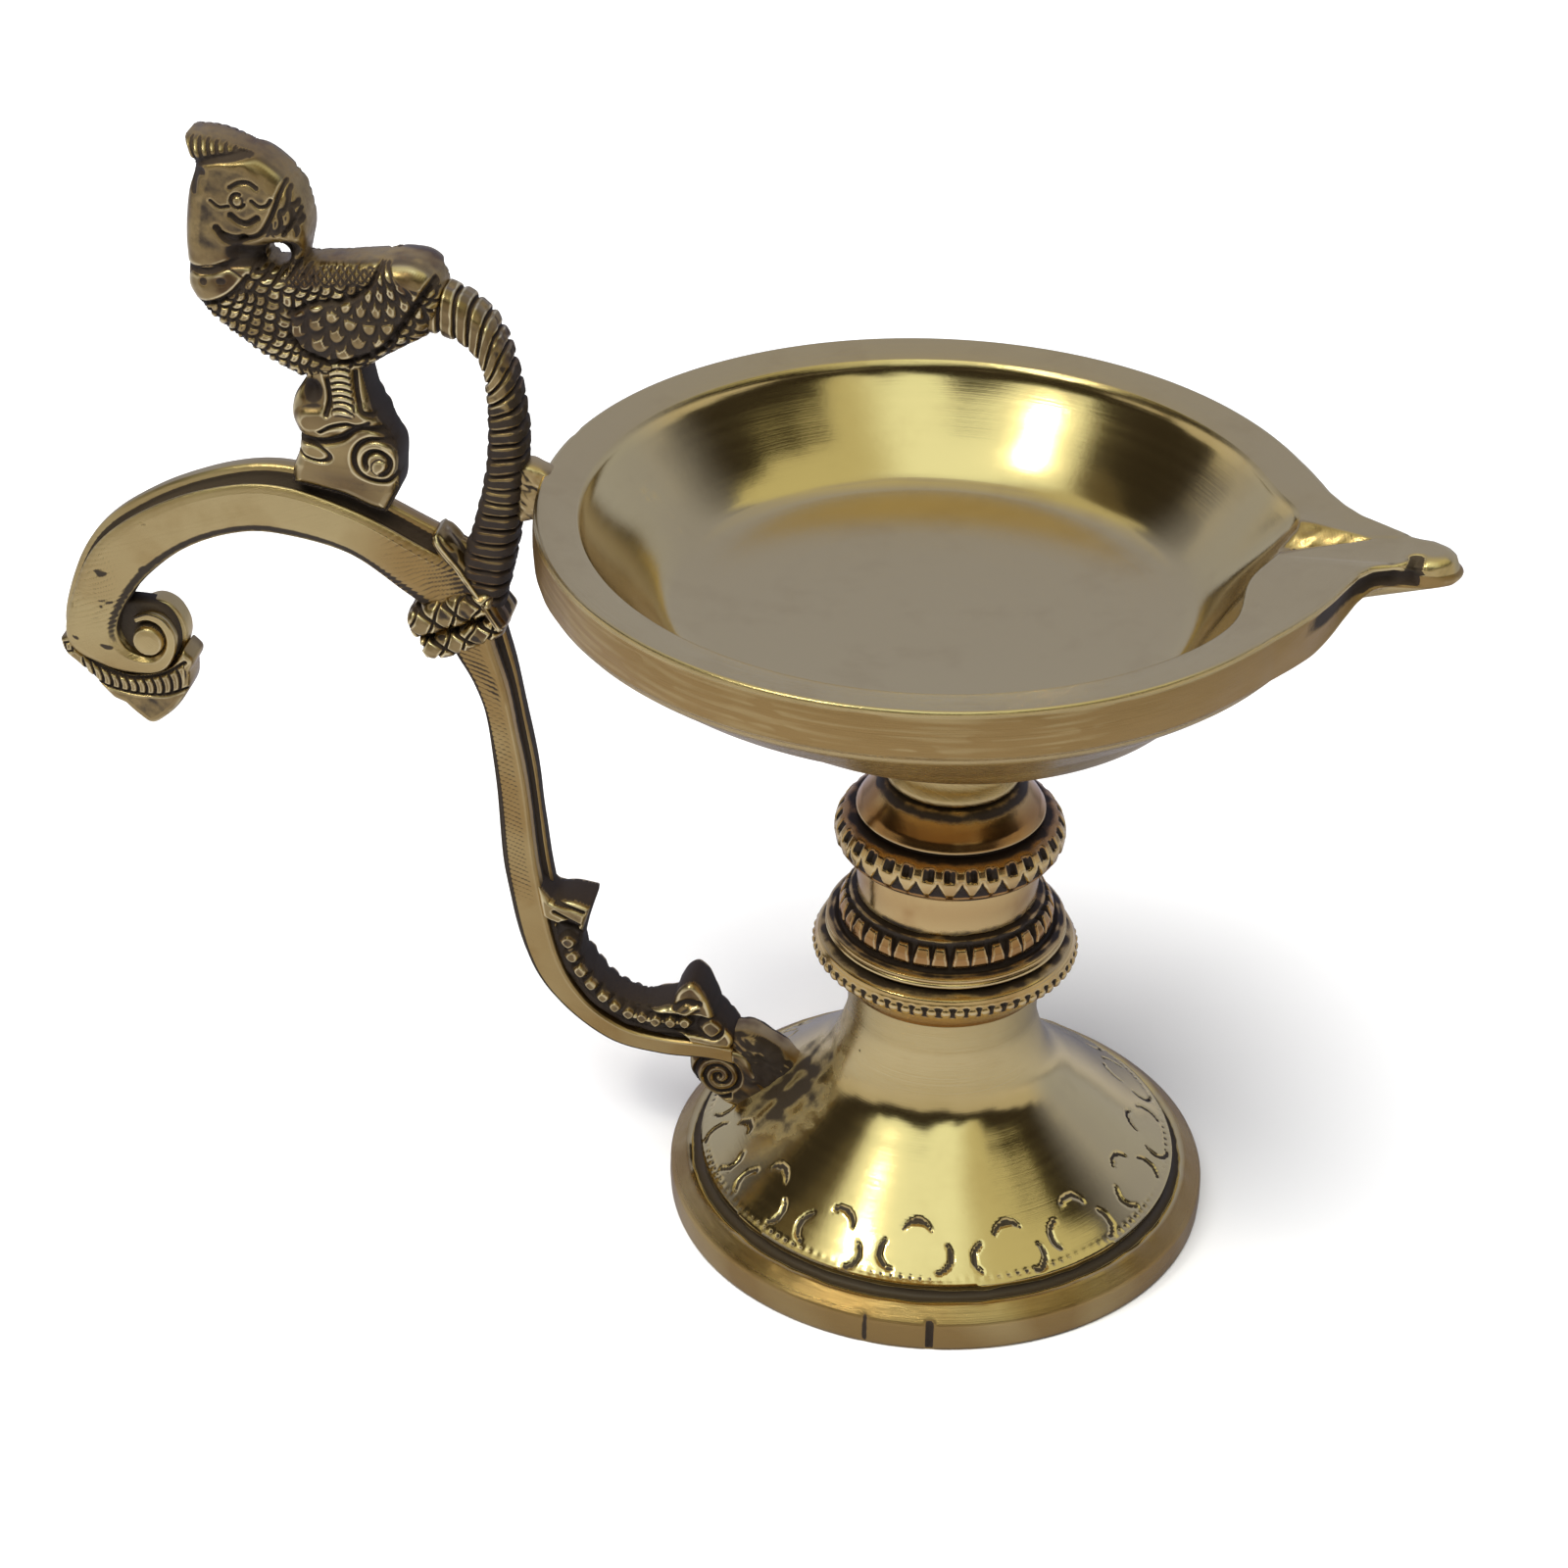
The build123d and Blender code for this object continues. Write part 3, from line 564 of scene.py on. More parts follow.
def bowlPiece():
    # (r, z) rows at each angle a: down the inside wall, over the lip, down the band, in under to the neck;
    # x = centre + r cos a, with the centre sliding from the bowl's to the stem's on the way down
    b = bowlShape
    v = np.linspace(-np.pi, np.pi, 521)[:-1]
    angles = v - 0.8 * np.sin(v)
    degrees = np.degrees(angles)
    outer = bowlOutline(angles)
    inner = b["mouth"] - 2.9 * bump(degrees + 12, 11) + 1.5 * bump(degrees - 12, 6)
    wallRows, lipStep, bandStep, turnStep = 40, 48, 16, 14
    lipRows = slice(wallRows, wallRows + lipStep)
    bandRows = slice(lipRows.stop, lipRows.stop + bandStep)
    wall = evenly(throughPoints(b["inside"], 200), wallRows)
    share = np.clip((wall[:, 0] - 31) / 8.7, 0, 1)[:, None]
    r = [wall[:, 0:1] + share * (inner - b["mouth"])]
    z = [wall[:, 1:2] + 0 * angles]
    t = np.linspace(0.004, 1, lipStep)[:, None]
    r.append(inner + (outer - inner) * t)
    z.append(b["lip"] + (b["rim"] - b["lip"]) * t**0.8 + 0 * angles)
    edgeX = b["centre"] + outer * np.cos(angles)
    foot = b["bandBottom"] + 3.0 * smooth(edgeX, 40, 47.5)
    down = np.linspace(0.06, 1, bandStep)[:, None]
    r.append(outer + 0.12 * np.sin(np.pi * down) + 0 * angles)
    z.append(b["rim"] + (foot - b["rim"]) * down)
    t = np.linspace(0.08, 1, turnStep)[:, None]
    r.append(outer + (b["radius"] - outer) * t - 0.4 * t)
    z.append(foot + (b["bandBottom"] - foot) * t - 0.5 * t)
    under = evenly(throughPoints(b["underside"], 300), 64)[1:]
    under = np.vstack([under, evenly(b["socket"], 8)])
    r.append(under[:, 0:1] + 0 * angles)
    z.append(under[:, 1:2] + 0 * angles)
    r, z = np.concatenate(r), np.concatenate(z)
    row = np.arange(len(z))[:, None]
    centre = b["centre"] * np.where(row >= bandRows.stop, smooth(z, 73, 84), 1.0)
    x, y = centre + r * np.cos(angles), r * np.sin(angles)

    # rounded shoulder: within `rounding` of the outline the lip falls away as a quarter circle
    edge = np.stack([edgeX, outer * np.sin(angles)], 1)
    near = np.abs(degrees) < 60
    d = np.full(r.shape, 99.0)
    d[lipRows, near] = lineDistance(x[lipRows, near], y[lipRows, near], edge[near])
    d[lipRows, ~near] = (outer - r[lipRows])[:, ~near]
    rounding = 0.6 + 1.2 * smooth(x, 48, 51)
    fall = rounding * (1 - dome(np.clip(1 - d / rounding, 0, 1)))
    lip, band = np.zeros(r.shape), np.zeros(r.shape)
    lip[lipRows], band[bandRows] = 1, 1
    nose = b["nose"]
    z = z + lip * (nose["rise"] * smooth(x, nose["start"] - 1, nose["start"] + 2) - fall)

    # the band hangs from the finished edge, hollowed on both sides of the nose
    top = z[lipRows.stop - 1:lipRows.stop]
    z[bandRows] = top + (foot - top) * down
    hollowed = np.sin(np.pi * down) * smooth(edgeX, 39, 44) * smooth(-edgeX, -50.5, -48)
    x[bandRows] += 0.4 * np.sin(np.pi * down) * smooth(outer, 54, 57) - 0.5 * hollowed
    y[bandRows] -= 0.9 * hollowed * np.sign(np.sin(angles))

    # the wick groove is a V that narrows and rises to nothing towards the nose
    w = b["wick"]
    along = np.clip((x - w["start"]) / (w["end"] - w["start"]), 0, 1)
    halfWidth = w["halfWidth"] * (1 - along) + 0.01
    vee = w["depth"] * (1 - along) ** 0.7 * np.clip(1.15 - np.abs(y - w["y"]) / halfWidth, 0, 1)
    chipped = 1 + 0.12 * wobble(x, y, z, 0.8, 3.0)
    groove = vee * chipped * (x > w["start"]) * (x < w["end"]) * (row < lipRows.stop)
    z = np.where(groove > 0.02, np.minimum(z, b["lip"] + 0.6 - groove), z)
    p = np.stack([x, y, z], 2)
    steps = np.linalg.norm(np.diff(p, axis=0), axis=2)
    s = np.cumsum(np.concatenate([np.zeros((1, len(angles))), steps]), 0)

    # a file notch beside the nose, a dent in the lip by the braze and two casting pits in the floor
    notch = 0.9 * bump(x - nose["notch"] - 0.2 * (z - 93), 0.6) * smooth(-y, 0.2, 1.2)
    notch = notch * (lip + band) * (z > 92.2)
    dent = 0.5 * bump(np.hypot(x + 47.6, y - 10.2), 0.5) * lip
    pits = bump(np.hypot(x + 26.5, y + 28.8), 0.55) + bump(np.hypot(x - 27, y + 28.5), 0.32)
    pits = 0.25 * pits * (z < 86)
    wave = 0.03 * wobble(x, y, z, 14.0, 5.0) + 0.05 * wobble(x, y, z * 2, 2.6, 6.0) * band
    shaped = raised(p, wave - notch - dent - pits, outwardSign(p, False))
    shaped[0] = shaped[0].mean(0)

    # paint: scraped groove, smoky inner wall by the handle, brown streaked band, and painted shade in the band's hollow
    # under the lip beside the nose
    underside = smooth(row, bandRows.stop - 2, bandRows.stop + 2)
    satin = np.clip(0.55 * lip + band + underside * 0.7, 0, 1)
    scraped = smooth(groove, 0.05, 0.4)
    sunk = 2.2 * notch + 1.5 * dent + 2.4 * pits + 0.14 * scraped * (0.5 + 0.5 * wobble(x, y, z, 0.5, 9.0))
    # painted shade: the top of the hollowed band beside the nose, on the near side, darkened under the lip
    side = smooth(x, 38, 42) * smooth(-x, -51, -48) * band * smooth(-y, -2, 3) * smooth(z, 90.8, 92.6)
    smoky = smooth(-x, 27, 33) * (row < 36) * smooth(wobble(x * 0.4, y, z * 0.5, 4.2, 5.0), -0.3, 1.0)
    stroke = wobble(x * 0.05, y * 0.05, z, 0.2, 7.0) * band
    patches = smooth(wobble(x, y, z * 2, 1.6, 12.0), 0.3, 0.9)
    brown = np.clip(0.95 * band + 0.45 * underside + 0.12 * lip + 0.5 * scraped, 0, 1)
    brown = brown + 0.5 * band * (patches + smooth(x, 15, 35)) + 0.4 * stroke
    sunk = sunk + 0.45 * side + 0.07 * band * patches + 0.16 * smoky + 0.07 * np.maximum(stroke, 0)
    gridPiece("bowl", shaped, "polished_brass", sunk=sunk, grain=s, satin=satin, brown=brown, capU=False)


bowlPiece()
print("bowl done")


def barGrid(stations, section, rows):
    # a bar between two edge lines (x1, z1) and (x2, z2) with half thickness h, all through the listed stations: the
    # section point (a, b) goes to middle + a * half the width, and b * h along y
    s = evenly(throughPoints(stations, rows * 3), rows)
    a, b = np.asarray(section)[:, 0], np.asarray(section)[:, 1]
    middle, half = (s[:, 0:2] + s[:, 2:4]) / 2, (s[:, 2:4] - s[:, 0:2]) / 2
    x = middle[:, 0:1] + half[:, 0:1] * a
    z = middle[:, 1:2] + half[:, 1:2] * a
    return np.stack([x, s[:, 4:5] * b, z], 2), arcLength(middle)[:, None]


def signedDistance(x, z, outline, holes=()):
    # below zero inside the closed outline and outside the holes (centre x, centre z, radius x, radius z)
    ring = np.vstack([outline, outline[:1]])
    far = lineDistance(x, z, ring)
    crossings = np.zeros(x.shape, int)
    for a, b in zip(ring[:-1], ring[1:]):
        if a[1] != b[1]:
            spans = (a[1] > z) != (b[1] > z)
            crossings += spans & (x < a[0] + (z - a[1]) * (b[0] - a[0]) / (b[1] - a[1]))
    d = np.where(crossings % 2 == 1, -far, far)
    for cx, cz, rx, rz in holes:
        d = np.maximum(d, (1 - np.hypot((x - cx) / rx, (z - cz) / rz)) * min(rx, rz))
    return d


def plate(name, spec, carve):
    # both faces of a cast shape at once: at distance d inside the outline the half thickness is
    # h = wall + (T / 2 - wall) * sqrt(1 - (1 - d / roll)^2), plus carve(x, z, d); points near the edge move onto it
    outline = np.vstack([throughPoints(run, 12 * len(run))[:-1] for run in spec["runs"]])
    outline = evenly(outline, 260, closed=True)
    step, margin = spec["step"], 2 * spec["step"]
    low, high = outline.min(0) - margin, outline.max(0) + margin
    x, z = np.meshgrid(np.arange(low[0], high[0], step), np.arange(low[1], high[1], step), indexing="ij")
    d = signedDistance(x, z, outline, spec.get("holes", ()))
    gx, gz = np.gradient(d, step)
    near = np.abs(d) < 0.75 * step
    x, z = x - near * d * gx, z - near * d * gz
    d = np.where(near, 0, d)
    inside = np.maximum(-d, 0)
    wall = spec["wall"]
    base = wall + (spec["thick"] / 2 - wall) * dome(np.clip(1 - inside / spec["roll"], 0, 1))
    cut, sunk = carve(x, z, inside)
    fade = smooth(inside, 0, 0.22)
    h = np.maximum(base + cut * fade, 0.25)
    bend = np.roll(h, 2, 0) + np.roll(h, -2, 0) + np.roll(h, 2, 1) + np.roll(h, -2, 1) - 4 * h
    bend = bend / (8 * step * step)
    bend = np.clip(bend, -1.5, 3) * smooth(inside, 0, 3 * step)
    used = d <= 0
    corner = used[:-1, :-1] & used[1:, :-1] & used[1:, 1:] & used[:-1, 1:]
    cells = corner & ((d[:-1, :-1] < 0) | (d[1:, :-1] < 0) | (d[1:, 1:] < 0) | (d[:-1, 1:] < 0))
    number = np.arange(x.size).reshape(x.shape)
    i, j = np.nonzero(cells)
    front = np.stack([number[i, j], number[i + 1, j], number[i + 1, j + 1], number[i, j + 1]], 1)
    padded = np.pad(cells, 1)
    sides = []
    for di, dj, ends in ((-1, 0, (0, 3)), (1, 0, (1, 2)), (0, -1, (0, 1)), (0, 1, (3, 2))):
        bare = ~padded[i + 1 + di, j + 1 + dj]
        sides.append(front[bare][:, ends])
    sides = np.concatenate(sides)
    walls = np.concatenate([sides, sides[:, ::-1] + x.size], 1)
    quads = np.concatenate([front, front + x.size, walls])
    kept = np.unique(quads)
    renumber = np.zeros(2 * x.size, int)
    renumber[kept] = np.arange(len(kept))
    y0 = spec.get("middle", 0.0)
    points = np.concatenate([np.stack([x, y, z], 2).reshape(-1, 3) for y in (y0 - h, y0 + h)])
    shade = spec.get("side", 0.0)
    sheets = {"hollow": bend, "sunk": shade + (sunk - shade) * fade, "grain": z * 0.8 + x * 0.6,
              "satin": 0.3 + 0 * x, "brown": spec.get("brown", 0.2) + 0.35 * wobble(x, 0 * x, z, 2.6, 4.0)}
    sheets = {label: np.tile(sheet.ravel(), 2)[kept] for label, sheet in sheets.items()}
    quadPiece(name, spec.get("node", name), spec["slot"], points[kept], renumber[quads], sheets, True)


def line(x, z, points, width):
    # 1 on a smooth line through the points, falling off as a bell curve of this width
    return bump(lineDistance(x, z, throughPoints(points, 5 * len(points))), width)


def scales(x, z, size, slant, width):
    # overlapping rows of round-ended scales: cut on the lower half circle of each, rows half a scale apart
    u = (x * math.cos(slant) + z * math.sin(slant)) / size
    v = (z * math.cos(slant) - x * math.sin(slant)) / size * 2
    cut = np.zeros(x.shape)
    for k in (0, 1, 2):
        row = np.floor(v) + k
        du = u - 0.5 * (row % 2)
        du = du - np.round(du)
        dv = (v - row) / 2
        own = (dv < 0.05) & (np.hypot(du, dv) < 0.62)
        cut = np.maximum(cut, bump(np.hypot(du, dv * 1.1) - 0.47, width / size) * own)
    return cut


barSection = [(-0.66, -1), (0.56, -1), (0.72, -0.88), (0.74, -0.3), (0.66, -0.16), (0.68, 0.06),
              (0.95, 0.14), (1, 0.3), (0.98, 0.84), (0.85, 1), (-0.85, 1), (-0.98, 0.84), (-1, 0.0),
              (-0.99, -0.42), (-0.95, -0.5), (-0.74, -0.52), (-0.72, -0.58), (-0.72, -0.92)]
strutShape = {
    "stations": [(-60.2, 72.4, -54.4, 75.4, 2.7), (-60, 70.6, -53.6, 71.6, 2.75),
                 (-57.6, 66.6, -52.4, 66.4, 2.8), (-56, 61.4, -51.5, 61, 2.8),
                 (-54.9, 52, -50.2, 52.6, 2.8), (-54.1, 39.6, -48.9, 40.4, 2.8),
                 (-51.6, 28.2, -46.7, 29.2, 2.8), (-47.6, 21.9, -43.6, 23.2, 2.8),
                 (-41.2, 17, -39.2, 20, 2.8), (-34.6, 15.8, -34.4, 19, 2.8),
                 (-28.6, 15.9, -28.6, 18.9, 2.75), (-25.2, 15.4, -25.6, 18.6, 2.7)],
    "strokes": 0.62, "strokeDepth": 0.07, "strokeTilt": 0.35,
}


def strutPiece():
    # filed front ridge on a wider back strip, with the channels along both sides and the flat step on the left darkened
    # by painted shade
    k = strutShape
    section = evenly(barSection, 112, closed=True)
    p, s = barGrid(k["stations"], section, 330)
    n = gridNormals(p)
    facing = smooth(np.abs(n[:, :, 1]), 0.7, 0.95) * (p[:, :, 1] < 0)
    x, z = p[:, :, 0], p[:, :, 2]
    filed = facing * smooth(z, 34, 40) * smooth(-section[:, 0][None, :], -0.45, -0.2)
    wave = (z + k["strokeTilt"] * x) / k["strokes"] + 0.25 * wobble(x, 0 * x, z, 2.2, 3.0)
    cut = k["strokeDepth"] * filed * np.clip(np.sin(turn * wave) + 0.1, 0, 1)
    uneven = 0.07 * wobble(x, p[:, :, 1], z, 3.4, 2.0)
    shaped = raised(p, uneven - cut, outwardBar(p))
    a, b = section[:, 0], section[:, 1]
    # painted shade: the channels, and the whole flat step on the left, darkened as if in shadow
    channel = smooth(0.93 - a, 0, 0.1) * smooth(a, 0.5, 0.6) * bump(b + 0.12, 0.3)
    channel = channel + 1.3 * smooth(-a, 0.55, 0.62) * smooth(0.5 - b, 0, 0.2)
    flank = smooth(a, 0.6, 0.9) * smooth(b, 0, 0.4) * 0.42
    smears = facing * smooth(wobble(x, 0 * x, z, 1.7, 7.0), 0.3, 0.9) * smooth(z, 54, 62)
    sunk = (0.8 * channel + flank)[None, :] + 1.3 * cut + 0.14 * smears
    brown = 0.75 + 0.3 * wobble(x, 0 * x, z, 3.0, 9.0) + 0.3 * smooth(z, 60, 70)
    gridPiece("strut", shaped, "filed_brass", sunk=sunk, grain=z + k["strokeTilt"] * x, satin=facing,
              brown=brown)


def outwardBar(p):
    # +1 where the grid's normals already point out of the bar, judged at the middle of its length
    n = gridNormals(p)
    k = len(p) // 2
    return np.sign((n[k] * (p[k] - p[k].mean(0))).sum())


armSection = [(-0.94, -0.8), (-0.6, -0.98), (-0.5, -1), (0.5, -1), (0.72, -0.95), (0.86, -0.84),
              (0.84, -0.72), (0.66, -0.62), (0.64, -0.06), (0.92, 0.02), (1, 0.14), (1, 0.5), (0.94, 0.86),
              (0.8, 1), (-0.8, 1), (-0.96, 0.84), (-1, 0.4), (-1, -0.5)]
armShape = {
    "stations": [(-57.2, 74.4, -55.6, 82.2, 2.5), (-61.4, 75.2, -58.8, 84, 2.7),
                 (-65, 77.5, -62, 85.4, 2.75), (-71.7, 82, -70.3, 89.2, 2.8), (-80, 83.6, -79, 91.5, 2.8),
                 (-86, 82.9, -87, 90.4, 2.8), (-91.6, 80.3, -96, 86.4, 2.8),
                 (-96.2, 76.4, -103.4, 80.4, 2.8), (-99.4, 72, -107.2, 72.4, 2.8),
                 (-100.7, 68.6, -108, 65.8, 2.8), (-100, 66.2, -103.6, 62.9, 2.7),
                 (-98.4, 65.2, -99.2, 62, 2.6), (-96.6, 65.2, -95.2, 62.9, 2.6),
                 (-95.3, 66.4, -93.4, 65.4, 2.6), (-95, 68, -92.9, 68.3, 2.6),
                 (-95.7, 69.5, -94.2, 71, 2.6), (-97, 70, -96.4, 71.9, 2.6),
                 (-98.3, 69.5, -98.8, 71, 2.4)],
    "strokes": 0.62, "strokeDepth": 0.05, "ridgeDrop": 0.95,
}


def armPiece():
    # a bar that tapers into its own spiral, with a channel just behind the front edge of its upper side; the channel
    # and the lower side carry painted shade
    k = armShape
    section = evenly(armSection, 120, closed=True)
    p, s = barGrid(k["stations"], section, 420)
    a, b = section[:, 0], section[:, 1]
    across = p[:, np.argmax(a - np.abs(b))] - p[:, np.argmin(a + np.abs(b))]
    across = across / np.linalg.norm(across, axis=1, keepdims=True)
    drop = k["ridgeDrop"] * (0.5 + 0.5 * smooth(p[:, :, 0].mean(1), -96, -72))
    p = p - (drop[:, None] * smooth(a, 0.3, 0.7) * smooth(-b, 0.08, 0.2))[:, :, None] * across[:, None, :]
    n = gridNormals(p)
    facing = smooth(np.abs(n[:, :, 1]), 0.7, 0.95) * (p[:, :, 1] < 0)
    x, z = p[:, :, 0], p[:, :, 2]
    where = np.maximum(smooth(-x, 97, 102) * smooth(z, 67, 71), smooth(x, -70, -65))
    filing = z * 0.94 - x * 0.34
    wave = filing / k["strokes"] + 0.7 * wobble(x, 0 * x, z, 1.6, 5.0)
    cut = k["strokeDepth"] * facing * where * np.clip(np.sin(turn * wave) + 0.1, 0, 1)
    uneven = 0.08 * wobble(x, p[:, :, 1], z, 4.0, 6.0)
    shaped = raised(p, uneven - cut, outwardBar(p))
    # painted shade: the channel behind the upper front edge, darkened as if in shadow
    channel = smooth(b, -0.8, -0.68) * smooth(-b, -0.12, 0.06) * smooth(a, 0.45, 0.6)
    channel = channel * smooth(0.84 - a, 0, 0.08)
    total = s[-1, 0]
    along = smooth(total - s, 8, 13)
    # painted shade along the lower side and lower front edge of the arm
    under = 0.35 * smooth(-a, 0.93, 0.97) + 0.3 * smooth(-a, 0.6, 0.75) * (b < -0.7)
    under = under * smooth(total - s, 14, 24)
    pits = smooth(wobble(x, 0 * x, z, 0.9, 11.0), 0.62, 0.9) * facing * smooth(-x, 92, 100)
    channel = channel[None, :] * (0.35 + 0.65 * smooth(np.abs(x + 93), 4, 12))
    sunk = channel * along + 1.1 * cut + 0.35 * pits
    joint = 0.25 * smooth(x, -66, -58) * (0.6 + 0.5 * wobble(x, 0 * x, z, 1.6, 4.0))
    brown = 0.16 + 0.3 * wobble(x, 0 * x, z, 3.4, 9.0) + 0.7 * smooth(x, -74, -64)
    gridPiece("scroll_arm", shaped, "filed_brass", sunk=sunk + under + joint, satin=facing * 0.8 + 0.2,
              grain=filing, brown=brown)


def webCarve(x, z, d):
    # the disc at the spiral's heart, standing on a sunk web
    r = np.hypot(x + 96.9, z - 67.6)
    disc = smooth(2.15 - r, 0, 0.45)
    return 2.1 * disc - 0.25 * smooth(r, 0.8, 2) * disc, 0.9 * (1 - disc)


webSpec = {"runs": [[(-101.4, 71.6), (-98.4, 72), (-95, 71.3), (-93.4, 68.5), (-94, 65), (-97, 63.2),
                     (-101, 64.4), (-102.6, 68), (-101.4, 71.6)]],
           "thick": 2.9, "wall": 1.0, "roll": 0.6, "step": 0.12, "middle": 0.3, "slot": "filed_brass",
           "node": "scroll_arm", "side": 0.5}

tailShape = {
    "stations": [(-61.9, 111.2, -61, 117, 2.6), (-57.6, 110.2, -57.4, 115.9, 2.9),
                 (-55, 107.2, -53.6, 112.4, 3), (-54.5, 102, -51.2, 105.6, 3), (-54.9, 95, -50.3, 97.6, 3),
                 (-56.3, 88.4, -51.2, 88.8, 3), (-57.8, 83.4, -52.2, 82.6, 3),
                 (-58.9, 77.4, -53.7, 75.9, 2.8)],
    "ribs": 1.85, "groove": 0.17, "depth": 0.6,
}


def tailPiece():
    # rounded bar with a rib every `ribs` millimetres: the skin drops by `depth` in narrow uneven grooves
    k = tailShape
    t = np.linspace(0, turn, 97)[:-1]
    square = np.stack([np.copysign(np.abs(np.cos(t)) ** 0.62, np.cos(t)),
                       np.copysign(np.abs(np.sin(t)) ** 0.7, np.sin(t))], 1)
    square = evenly(square, 96, closed=True)
    p, s = barGrid(k["stations"], square, 560)
    x, y, z = p[:, :, 0], p[:, :, 1], p[:, :, 2]
    level = 0.85 * (z - z.mean(1, keepdims=True)) * smooth(-z, -108, -98)
    shift = 0.28 * wobble(x, 0.3 * y, z, 3.1, 2.0) - level
    off = (s + shift) / k["ribs"]
    off = (off - np.round(off)) * k["ribs"]
    groove = bump(off, k["groove"]) * (0.75 + 0.35 * wobble(x, y, z, 2.3, 6.0))
    margin = smooth(-square[:, 0], 0.5, 0.85)[None, :] * smooth(-z, -108, -100)
    groove = groove * (1 - margin)
    swell = 0.12 * smooth(np.abs(off), 0.1, 0.5)
    chips = 0.12 * wobble(x, y, z, 0.8, 9.0)
    height = -k["depth"] * groove + swell + chips * (1 - groove)
    outward = outwardBar(p)
    shaped = raised(p, height, outward)
    n = gridNormals(p) * outward
    # painted shade: the side of the tail facing +x, darker as if turned away from the light
    right = smooth(n[:, :, 0], 0.15, 0.7) * smooth(-z, -116, -104)
    # blotchy darkening, and darker towards the bottom of the tail
    dimming = 0.12 * smooth(wobble(x, y, z, 1.1, 12.0), 0.0, 0.8) + 0.27 * smooth(-z, -108, -100)
    sunk = 0.8 * groove + 0.25 * right + 0.5 * margin + dimming
    brown = 0.45 + 0.35 * wobble(x, y, z, 3.1, 5.0) + 0.3 * smooth(-z, -100, -80)
    gridPiece("tail", shaped, "cast_brass", sunk=sunk, grain=s, satin=0.6, brown=brown)


strutPiece()
armPiece()
plate("scroll_web", webSpec, webCarve)
tailPiece()
print("bars done")
def rows(u, pitch, width):
    # lines across u at every whole pitch, each a bell curve of this width
    return bump((u / pitch - np.round(u / pitch)) * pitch, width)



leafSpec = {
    "runs": [[(-108.2, 66.4), (-107.6, 64.6), (-106, 63), (-104, 61), (-102, 58.8)], [(-102, 58.8),
              (-100.6, 58.3)],
             [(-100.6, 58.3), (-99.2, 57), (-97.4, 55.9), (-95.6, 57), (-93.8, 58.9), (-92.4, 61.4),
              (-92.2, 63.6)],
             [(-92.2, 63.6), (-91.6, 65.2), (-92.8, 66.6)], [(-92.8, 66.6), (-94.6, 63.9), (-97.2, 62.6),
              (-100, 62.2), (-103, 63), (-105.6, 65), (-107, 67)], [(-107, 67), (-108.2, 66.4)]],
    "thick": 5.0, "wall": 1.7, "roll": 0.8, "step": 0.1, "slot": "cast_brass"}


def leafCarve(x, z, d):
    # two border lines with a row of arcs between them, and a small square at the outer end
    upper = [(-106.2, 65.2), (-103.4, 63), (-99.4, 62), (-95.4, 63), (-92.6, 65)]
    lower = [(-104.6, 61.6), (-102.6, 60.6), (-99.2, 60), (-95.6, 60.2), (-92.6, 61.4)]
    a, b = throughPoints(upper, 40), throughPoints(lower, 40)
    top = np.interp(x, a[:, 0], a[:, 1])
    bottom = np.interp(x, b[:, 0], b[:, 1])
    v = (z - bottom) / np.maximum(top - bottom, 0.3)
    row = (v > 0) & (v < 1) & (x > -105.6) & (x < -92.8)
    arcs = rows(x - 0.55 * dome(np.clip(2 * v - 1, -1, 1)) + 0.4 * (v - 0.5), 1.08, 0.17) * row
    borders = np.maximum(line(x, z, upper, 0.2), line(x, z, lower, 0.17))
    block = [(-107.6, 66), (-106.6, 66.2), (-106.6, 65), (-107.4, 64.9), (-107.6, 66)]
    cut = np.maximum(np.maximum(0.55 * arcs, 0.6 * borders), 0.35 * bump(lineDistance(x, z, block), 0.12))
    skin = 0.12 * wobble(x, 0 * x, z, 0.9, 3.0)
    return skin * (1 - row) - cut, cut * 0.9 + 0.1


crescentSpec = {
    "runs": [[(-50, 40), (-49.6, 37), (-49, 33.5), (-47.8, 28.6), (-45.6, 24.3), (-42.8, 21.3),
              (-39.4, 19.2), (-35.6, 18.5), (-32, 18.4), (-25.6, 18.2)],
             [(-25.6, 18.2), (-25.2, 19.6), (-26.6, 21.6), (-27.6, 22.6), (-28.1, 24), (-29.2, 26.4),
              (-30.5, 27.5), (-31.8, 26.9), (-32.7, 25.4), (-33, 23.8)],
             [(-33, 23.8), (-36.1, 22.9), (-38.8, 23.2), (-41, 24.4), (-43.2, 26.9), (-44.6, 29.6),
              (-44.3, 32.4), (-43, 36.9)], [(-43, 36.9), (-45.4, 37.4), (-48, 37.2)], [(-48, 37.2),
              (-49, 38.4), (-50, 40)]],
    "thick": 6.4, "wall": 1.6, "roll": 0.7, "step": 0.1, "slot": "cast_brass", "side": 0.42,
    "brown": 0.45,
    "beads": [(-46, 31.4, 1.1), (-45.5, 29.3, 1.05), (-44.5, 27.3, 1.05), (-43.2, 25.5, 1),
              (-41.7, 23.8, 0.95), (-40.2, 22.6, 0.9), (-38.5, 21.8, 0.95), (-36.8, 21.4, 0.92),
              (-35.1, 21.1, 0.92), (-33.2, 21.2, 0.92), (-31.4, 21.4, 0.88), (-28, 21.1, 1.6)]}


